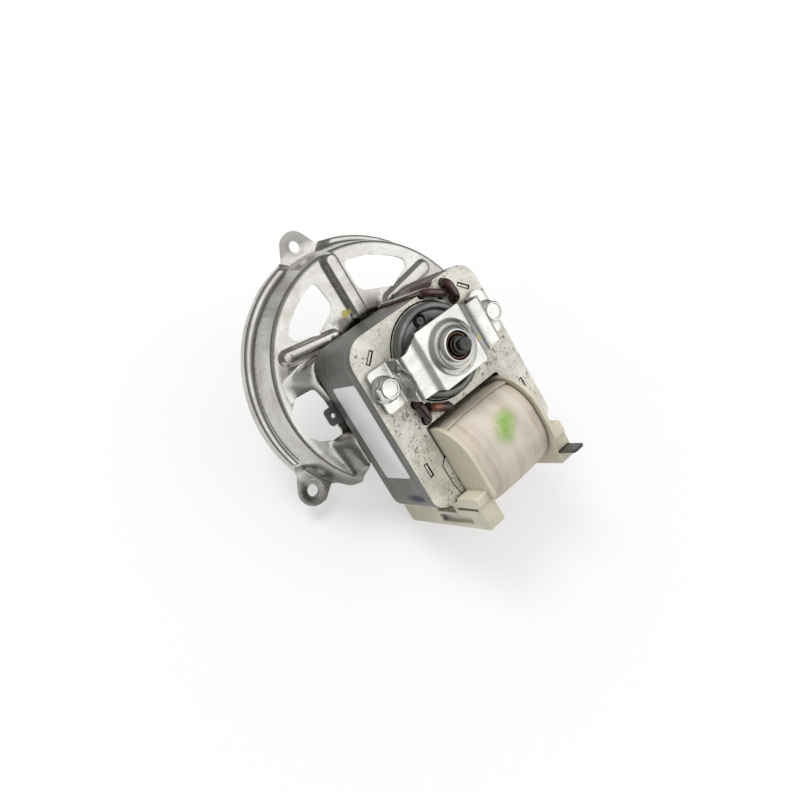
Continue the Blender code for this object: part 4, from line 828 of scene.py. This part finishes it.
def stack_outline():
    ring_u, ring_v = polar(*RING_PLACES[0][0])
    top_notch = [(ring_u - RING_HOLE, STACK_TOP), *arc((ring_u, ring_v), RING_HOLE, 180.0, 360.0, 12),
                 (ring_u + RING_HOLE, STACK_TOP)]
    low_notch = [(RING_HOLE - ring_u, COIL_WINDOW_TOP), *arc((-ring_u, -ring_v), RING_HOLE, 0.0, 180.0, 12),
                 (-RING_HOLE - ring_u, COIL_WINDOW_TOP)]
    corners = [((-STACK_HALF, STACK_TOP), 8.4)]
    corners += [(point, 0.0) for point in top_notch]
    corners += [
        ((11.2, STACK_TOP), 0.6), ((12.6, STACK_SHOULDER), 0.6), ((STACK_HALF, STACK_SHOULDER), 8.4),
        ((STACK_HALF, STACK_BOTTOM), 9.0), ((SOCKET - 1.0, STACK_BOTTOM), 0.0),
        ((SOCKET, STACK_BOTTOM + 4.7), 1.5), ((SOCKET, CORE_TOP - 1.8), 1.5), ((LEG_INSIDE, CORE_TOP), 0.0),
        ((LEG_INSIDE, COIL_WINDOW_TOP), 1.0),
    ]
    corners += [(point, 0.0) for point in low_notch]
    corners += [
        ((-LEG_INSIDE, COIL_WINDOW_TOP), 1.0), ((-LEG_INSIDE, CORE_TOP), 0.0),
        ((-SOCKET, CORE_TOP - 1.8), 1.5), ((-SOCKET, STACK_BOTTOM + 4.7), 1.5),
        ((-SOCKET + 1.0, STACK_BOTTOM), 0.0),
        ((-STACK_HALF, STACK_BOTTOM), 9.0),
    ]
    return rounded([c for c, _ in corners], [r for _, r in corners], 9)


def inset(outline, amount):
    """An outline given clockwise, with every point moved inwards by a small amount."""
    moved = []
    for i, point in enumerate(outline):
        before, after = Vector(outline[i - 1]), Vector(outline[(i + 1) % len(outline)])
        along = (after - before).normalized()
        moved.append((point[0] + along.y * amount, point[1] - along.x * amount))
    return moved


def ring_bars():
    """The rings as pairs of bar places: two on the upper right pole, two turned by half a turn."""
    return [(polar(a[0], a[1] + pole), polar(b[0], b[1] + pole))
            for pole in (0.0, 180.0) for a, b in RING_PLACES]


def build_stack():
    outline = stack_outline()
    levels = [(STACK_FRONT, 0.10)]
    pitch = (STACK_REAR - STACK_FRONT) / LAMINATIONS
    for sheet in range(LAMINATIONS):
        low = STACK_FRONT + sheet * pitch
        jitter = 0.02 + 0.05 * (noise(Vector((sheet * 1.7, 3.1, 0.0))) + 0.5)
        levels += [(low + 0.14 * pitch, jitter), (low + 0.86 * pitch, jitter), (low + pitch, jitter + 0.05)]
    levels[-1] = (STACK_REAR, 0.10)
    bm = bmesh.new()
    rings = skin(bm, [at_level(inset(outline, depth), w) for w, depth in levels])

    holes = [circle(BORE, 144)] + [circle(SCREW_HOLE, 32, (side * SCREW_U, 0.0)) for side in (1, -1)]
    for i, (first, second) in enumerate(ring_bars()):
        holes += [circle(RING_HOLE, 28, place) for place in ((second,) if i % 2 == 0 else (first, second))]
    slots = []
    for u, v, turn in SLOTS:
        along, across = Vector(polar(1.0, turn)), Vector(polar(1.0, turn + 90.0))
        corners = [(2.5, 0.8), (-2.5, 0.8), (-2.5, -0.8), (2.5, -0.8)]
        slots.append([tuple(Vector((u, v)) + along * a + across * b) for a, b in corners])

    def cap(ring, w, cut):
        edges = [bm.edges.get((ring[i - 1], ring[i])) for i in range(len(ring))]
        inner = []
        for points in holes + cut:
            verts = [bm.verts.new(place) for place in at_level(points, w)]
            edges += [bm.edges.new((verts[i - 1], verts[i])) for i in range(len(verts))]
            inner.append(verts)
        bmesh.ops.triangle_fill(bm, edges=edges, use_beauty=True, use_dissolve=False)
        return inner

    front = cap(rings[0], STACK_FRONT, [])
    rear = cap(rings[-1], STACK_REAR, slots)
    for low, high in zip(front, rear):
        quads(bm, low, high)
    for verts in rear[len(front):]:
        middle = sum((v.co for v in verts), Vector()) / len(verts)
        along, across = (verts[0].co - verts[1].co) / 2, (verts[1].co - verts[2].co) / 2
        loops = [verts]
        for margin, depth in ((0.0, 1.1), (0.42, 1.1), (0.46, 0.25)):
            a, b = 1.0 - margin / along.length, 1.0 - margin / across.length
            floor = middle - Vector((0.0, 0.0, depth))
            loops.append([bm.verts.new(floor + along * i * a + across * j * b)
                          for i, j in ((1, 1), (-1, 1), (-1, -1), (1, -1))])
        for low, high in zip(loops, loops[1:]):
            quads(bm, low, high)
        bm.faces.new(loops[-1])
    add_piece("lamination_stack", bm, "lamination", "frame", ["stator_core"], 30.0)


def build_shading_rings():
    """Bent copper bars through the poles, a little uneven, as they are bent by hand."""
    names = ("upper_inner", "upper_outer", "lower_inner", "lower_outer")
    for name, (first, second) in zip(names, ring_bars()):
        thick = 1.62 if name == "upper_outer" else 1.42
        first, second = Vector(first), Vector(second)
        span, middle = (second - first).length / 2, (first + second) / 2
        along = (second - first).normalized()
        low, high = STACK_FRONT - 2.4, STACK_REAR + 2.4
        path = rounded([(-span, low), (span, low), (span, high), (-span, high)], 2.0, 8)
        path = refine(path, 1.2)
        bm = bmesh.new()
        rings = []
        for i, (across, w) in enumerate(path):
            before, after = path[i - 1], path[(i + 1) % len(path)]
            heading = Vector((after[0] - before[0], after[1] - before[1])).normalized()
            out = Vector((heading.y, -heading.x))
            core = middle + along * across
            ring = []
            for k in range(20):
                turn = math.tau * k / 20
                place = Vector((across, w)) + out * (math.cos(turn) * thick)
                spot = middle + along * place.x + Vector((-along.y, along.x)) * (math.sin(turn) * thick)
                swell = 1.0 + 0.05 * noise(Vector((spot.x, spot.y, place.y * 0.8)))
                ring.append((core.x + (spot.x - core.x) * swell, core.y + (spot.y - core.y) * swell,
                             w + (place.y - w) * swell))
            rings.append(ring)
        skin(bm, rings, True)
        add_piece("bar_ring_" + name, bm, "shading_copper", "frame", ["shading_ring_" + name], 60.0)


# The coil

def build_tape():
    """The wound tape: a crowned sleeve with the ridges of the turns below it."""
    stations = 110
    middle_v, middle_w = -37.0, (STACK_FRONT + STACK_REAR) / 2
    outer, inner = [], []
    for k in range(stations + 1):
        u = -TAPE_HALF + 2 * TAPE_HALF * k / stations
        crown = 0.9 * (abs(u) / TAPE_HALF) ** 3
        edge = max(0.0, abs(u) - TAPE_HALF + 0.35)
        for shrink, rings in ((crown + edge, outer), (crown + 0.6, inner)):
            low, high = STACK_FRONT - TAPE_REACH + shrink, STACK_REAR + TAPE_REACH - shrink
            bottom, top = TAPE_BOTTOM + shrink, TAPE_TOP - shrink
            corners = [(bottom, low), (top, low), (top, high), (bottom, high)]
            ring = []
            for v, w in refine(rounded(corners, [r - shrink for r in (14.2, 13.0, 13.0, 14.2)], 26), 2.1):
                lift = 0.0
                if rings is outer:
                    wander = 0.5 * noise(Vector((u * 0.3, v * 0.05, w * 0.05)))
                    lift = 0.05 * math.sin((u + wander) * math.tau / 0.9) - 0.12
                    lift += 0.16 * noise(Vector((u * 0.55, v * 0.04, w * 0.04)))
                scale = 1.0 + lift / math.hypot(v - middle_v, w - middle_w)
                ring.append((u, middle_v + (v - middle_v) * scale, middle_w + (w - middle_w) * scale))
            rings.append(ring)
    bm = bmesh.new()
    skin(bm, outer + inner[::-1], True)
    add_piece("tape_sleeve", bm, "coil_tape", "frame", ["coil_wrap"], 50.0)


def build_film():
    """The strip of insulation that covers the coil where it leaves the stack."""
    centre_v, centre_w, radius, across = -33.6, 49.4, 13.25, 14.8
    bm = bmesh.new()
    rings = []
    for thick in (0.16, 0.0):
        rows = []
        for k in range(31):
            u = -across + 2.0 * across * k / 30
            size = radius + thick - 0.9 * abs(u / across) ** 3
            row = [(u, centre_v + size, centre_w + 0.6)]
            for step in range(15):
                wave = 0.10 * noise(Vector((u * 0.5, step * 0.3, 2.0)))
                edge = 24.0 + 2.0 * noise(Vector((u * 0.25, 7.0, 1.0)))
                v, w = polar(size + wave, 3.0 + (edge - 3.0) * step / 14, (centre_v, centre_w))
                row.append((u, v, w))
            rows.append(row)
        rings.append(rows)
    loops = [outer + inner[::-1] for outer, inner in zip(*rings)]
    skin(bm, loops, False, True)
    add_piece("insulation_film", bm, "coil_tape", "frame", (), 40.0, True, "insulation_film")


def rounded_copy(node, name, slot, width, segments=3, angle=38.0):
    """The node's own form with its hard edges broken, as moulded and stamped pieces have them."""
    bm = bmesh.new()
    bm.from_mesh(NODES[node].data)
    bmesh.ops.remove_doubles(bm, verts=bm.verts[:], dist=1e-6)
    bmesh.ops.dissolve_limit(bm, angle_limit=math.radians(1.0), verts=bm.verts[:], edges=bm.edges[:])
    bm.transform(MOTOR_AXES.inverted())
    piece = add_piece(name, bm, slot, "frame", [node], 40.0, False)
    bevel = piece.modifiers.new("edges", "BEVEL")
    bevel.width = width * MM
    bevel.segments = segments
    bevel.limit_method = "ANGLE"
    bevel.angle_limit = math.radians(angle)
    bevel.use_clamp_overlap = True
    bevel.harden_normals = True
    return piece


# Rotor, bearing, screws and label

def cast_ring():
    """A cast end ring: a raised band round a rough face, with a stub where each pin pushed it out."""
    outer, hollow = ROTOR - 0.3, 9.6
    section = np.array([
        (hollow, 1.9), (hollow + 0.25, 2.45), (hollow + 0.6, 2.65), (outer - 3.1, 2.55), (outer - 2.75, 2.4),
        (outer - 2.45, 2.9), (outer - 2.2, 3.3), (outer - 1.9, 3.4), (outer - 0.9, 3.38), (outer - 0.4, 3.05),
        (outer, 2.5)])
    pin = np.array([(0.0, 2.7), (0.35, 2.75), (0.5, 3.15), (1.15, 3.2), (1.35, 3.0), (1.5, 1.5), (1.9, 1.2),
                    (2.2, 1.5), (2.45, 2.5), (2.6, 2.6)])
    pins = [polar(11.3, angle) for angle in (95.0, 215.0, 335.0)]
    contours = [circle(radius, 150) for radius, _ in section]
    contours += [circle(radius, 100) for radius in (11.0, 11.8)]
    contours += [circle(radius, 30, place) for place in pins for radius, _ in pin[1:]]

    def kept(points):
        return np.abs(off_axis(points) - (outer + hollow) / 2) < (outer - hollow) / 2

    def height(points):
        value = np.interp(off_axis(points), section[:, 0], section[:, 1])
        value += [0.09 * noise(Vector((x * 1.1, y * 1.1, 4.0))) for x, y in points]
        for place in pins:
            away = np.linalg.norm(points - np.array(place), axis=1)
            value = np.where(away < pin[-1, 0], np.interp(away, pin[:, 0], pin[:, 1]), value)
        return np.column_stack([points, STACK_REAR + value])

    bm = sheet_mesh(contours, kept, height)
    rim = [edge for edge in bm.edges if edge.is_boundary]
    walls = bmesh.ops.extrude_edge_only(bm, edges=rim)["geom"]
    for item in walls:
        if isinstance(item, bmesh.types.BMVert):
            item.co.z = STACK_REAR + 0.3
    return bm


def build_rotor():
    bm = cast_ring()
    front = cast_ring()
    for vert in front.verts:
        vert.co.z = STACK_FRONT + STACK_REAR - vert.co.z
    join_mesh(bm, front)
    for k in range(12):
        rings = []
        for level in range(9):
            turn = 30.0 * k + 13.0 * (level / 8 - 0.5)
            w = STACK_FRONT - 0.9 + (STACK_REAR - STACK_FRONT + 1.8) * level / 8
            rings.append(at_level(circle(1.0, 14, polar(14.2, turn)), w))
        skin(bm, rings, False, True)
    add_piece("cast_cage", bm, "die_cast", "rotor", ["rotor_cage"], 40.0)


def build_shaft():
    """The shaft: rear grooves, double flats for the fan, and a left-hand thread."""
    rear, front, flats_start, thread_start = STACK_REAR + 18.1, -28.0, -14.0, -18.0
    pitch, step, count = 0.8, 0.08, 72
    stations = [
        (rear - 0.25, 0.0), (rear - 0.25, 0.25), (rear - 0.04, 0.5), (rear - 0.04, 0.95), (rear - 0.14, 1.05),
        (rear - 0.14, 1.25), (rear, 1.35), (rear, 1.75), (rear - 0.12, 1.85), (rear - 0.12, 2.0),
        (rear - 0.05, 2.1), (rear - 0.25, 2.35), (rear - 0.7, 2.4), (rear - 0.8, 1.7), (rear - 2.3, 1.7),
        (rear - 2.4, 2.55), (rear - 2.6, 2.8), (rear - 4.0, 2.8), (rear - 4.1, 3.0), (0.0, 3.0),
        (flats_start + 0.1, 3.0), (flats_start, 3.0), (thread_start, 3.0), (thread_start - 0.4, 2.4),
    ]
    turns = int((thread_start - 0.4 - front - 0.6) / step)
    stations += [(thread_start - 0.4 - step * k, None) for k in range(1, turns)]
    stations += [(front + 0.5, 2.0), (front, 1.7), (front, 0.0)]
    bm = bmesh.new()
    rings = []
    for w, radius in stations:
        ring = []
        for i in range(count):
            size = radius
            if size is None:
                phase = (w / pitch + i / count) % 1.0
                size = 2.4 - 0.36 * (1.0 - abs(2.0 * phase - 1.0))
            u, v = polar(size, 360.0 * i / count)
            if thread_start <= w <= flats_start:
                u = max(-2.4, min(2.4, u))
            ring.append((u, v, w))
        rings.append(ring)
    skin(bm, rings)
    bmesh.ops.remove_doubles(bm, verts=bm.verts[:], dist=0.003)
    add_piece("turned_shaft", bm, "shaft_steel", "rotor", ["shaft"], 35.0)


def build_bushes():
    """The ball-shaped bushes, seen in the holes of their domes."""
    seat, radius, bore = 55.5, 7.4, 3.3
    profile = [(bore, seat - 5.0), (5.4, seat - 5.0)]
    for step in range(15):
        turn = math.radians(-42.0 + 95.0 * step / 14)
        profile.append((radius * math.cos(turn), seat + radius * math.sin(turn)))
    profile += [(4.4, seat + 6.1), (4.4, seat + 7.0), (4.15, seat + 7.3), (bore + 0.5, seat + 7.3),
                (bore, seat + 6.8)]
    add_piece("rear_bush", turned_mesh(profile, 72), "sintered_bronze", "frame", ["rear_bearing"], 40.0)
    facing = [(r, FRONT_SEAT + seat - w) for r, w in profile]
    add_piece("front_bush", turned_mesh(facing, 72), "sintered_bronze", "frame", ["front_bearing"], 40.0)


def build_screws():
    """Flanged hexagon screws with a shallow dish in the head and a rolled thread."""
    seat, tip, pitch, count = BRIDGE_FOOT + 0.3, 17.4, 0.7, 48
    for tag, side in (("left", -1), ("right", 1)):
        centre = (side * SCREW_U, 0.0)
        stations = [(0.0, tip), (1.4, tip), (1.7, tip + 0.4)]
        w = tip + pitch
        while w < seat - 1.0:
            stations += [(2.0, w), (1.7, w + pitch / 2)]
            w += pitch
        stations += [(2.0, seat), (4.45, seat), (4.5, seat + 0.15), (4.5, seat + 0.4), (4.3, seat + 0.6),
                     (3.6, seat + 1.1), (0.0, seat + 1.15)]
        bm = turned_mesh(stations, count, False, centre)
        apothem, top = 3.4, seat + 4.15
        rings = [[(*centre, seat + 0.95)] * count]
        for w, reach in ((seat + 0.95, 3.95), (top - 0.75, 3.92), (top - 0.3, 3.5), (top, 3.0)):
            ring = []
            for i in range(count):
                angle = 360.0 * i / count
                off = (angle + 30.0) % 60.0 - 30.0
                ring.append((*polar(min(apothem / math.cos(math.radians(off)), reach), angle, centre), w))
            rings.append(ring)
        for radius, w in ((2.6, top), (2.4, top - 0.3), (0.6, top - 0.4), (0.0, top - 0.4)):
            rings.append(at_level(circle(radius, count, centre), w))
        head = bmesh.new()
        skin(head, rings)
        bmesh.ops.remove_doubles(head, verts=head.verts[:], dist=0.004)
        join_mesh(bm, head)
        add_piece("hex_screw_" + tag, bm, "zinc_steel", "frame", ["fixing_screw_" + tag], 30.0)


def build_label():
    """The bare foil label on the stack's left side."""
    corners = [(-30.4, 28.4), (5.4, 28.4), (5.4, 44.4), (-30.4, 44.4)]
    middle_v, middle_w = -12.5, 36.4
    outline = refine(rounded(corners, 1.2, 6), 1.5)
    bm = bmesh.new()
    rings = []
    for u, shrink in ((-28.93, 0.0), (-29.05, 0.0), (-29.08, 0.06)):
        rings.append([(u, v + (shrink if v < middle_v else -shrink),
                       w + (shrink if w < middle_w else -shrink)) for v, w in outline])
    skin(bm, rings, False, True)
    add_piece("blank_label", bm, "zinc_steel", "frame", (), 40.0, True, "label")


def add_stage():
    """The table, the lamps and the world."""
    up = Vector((0.0, -math.sin(FLOOR_TILT), math.cos(FLOOR_TILT)))
    lowest = min(up.dot(v.co) for node in NODES.values() for v in node.data.vertices)
    bm = bmesh.new()
    bmesh.ops.create_grid(bm, x_segments=1, y_segments=1, size=FLOOR_SIZE / 2)
    mesh = bpy.data.meshes.new("floor")
    bm.to_mesh(mesh)
    bm.free()
    floor = link("floor", mesh)
    floor.matrix_world = facing(up * (lowest - FLOOR_CLEARANCE), up)

    tree = Tree("floor")
    tree.set(Base_Color=(0.90, 0.90, 0.90), Roughness=0.9, Specular_IOR_Level=0.0)
    away = tree.vector("LENGTH", tree.place)
    seen = tree.times(tree.spread(away, *FLOOR_FADE), tree.add("LightPath").outputs["Is Camera Ray"])
    white = tree.shaders(seen, tree.shader, tree.add("Emission"))
    sided = tree.shaders(tree.add("NewGeometry").outputs["Backfacing"], white, tree.add("BsdfTransparent"))
    tree.put(tree.nodes["Material Output"].inputs["Surface"], sided.outputs[0])
    floor.data.materials.append(tree.material)

    world = bpy.data.worlds.new("studio")
    bpy.context.scene.world = world
    world.use_nodes = True
    sky = Nodes(world.node_tree)
    ray = sky.add("LightPath").outputs
    direction = sky.add("TexCoord").outputs["Generated"]
    height = sky.vector("DOT_PRODUCT", direction, up)
    glare = sky.spread(sky.vector("DOT_PRODUCT", direction, SOFT_BOX), *GLARE, smooth=True)
    mirrored_sky = sky.math("ADD", sky.spread(height, *MIRRORED_SKY), glare)
    mirror = sky.math("MAXIMUM", ray["Is Glossy Ray"], ray["Is Transmission Ray"])
    lit = sky.choose(mirror, sky.spread(height, *SOFT_SKY), mirrored_sky)
    background = sky.nodes["Background"].inputs
    sky.put(background["Strength"], sky.choose(ray["Is Camera Ray"], lit, 1.0))
    sky.put(background["Color"], (1.0, 1.0, 1.0))

    right = CAMERA_FORWARD.cross(CAMERA_UP).normalized()
    centre = Vector((0.0, -0.03, 0.0))
    lamps = (
        ("key", centre + (up * 0.9 - right * 0.5 + CAMERA_UP * 0.3) * 0.6, 0.35, 3.0),
        ("fill", centre + (up * 0.6 + right * 0.9) * 0.6, 0.5, 1.1),
    )
    for name, place, size, power in lamps:
        data = bpy.data.lights.new(name, "AREA")
        data.shape = "DISK"
        data.size = size
        data.energy = power
        lamp = link(name, data)
        lamp.matrix_world = facing(place, place - centre)
        lamp.visible_glossy = False


def add_camera():
    data = bpy.data.cameras.new("camera")
    data.sensor_width = SENSOR
    data.lens = SENSOR * FOCAL_SHARE
    data.clip_start = 0.01
    camera = link("camera", data)
    forward = CAMERA_FORWARD.normalized()
    right = forward.cross(CAMERA_UP).normalized()
    up = right.cross(forward)
    camera.matrix_world = Matrix((
        (right.x, up.x, -forward.x, CAMERA_PLACE.x),
        (right.y, up.y, -forward.y, CAMERA_PLACE.y),
        (right.z, up.z, -forward.z, CAMERA_PLACE.z),
        (0.0, 0.0, 0.0, 1.0)))
    bpy.context.scene.camera = camera


dress_nodes()
build_plate()
build_bridge()
build_stack()
build_shading_rings()
build_tape()
build_film()
rounded_copy("coil_bobbin", "moulded_bobbin", "bobbin_plastic", 0.25)
rounded_copy("earth_tab", "stamped_earth_tab", "tab_steel", 0.12, 2)
build_rotor()
build_shaft()
build_bushes()
build_screws()
build_label()
add_stage()
add_camera()
bpy.context.scene.view_settings.view_transform = "Standard"
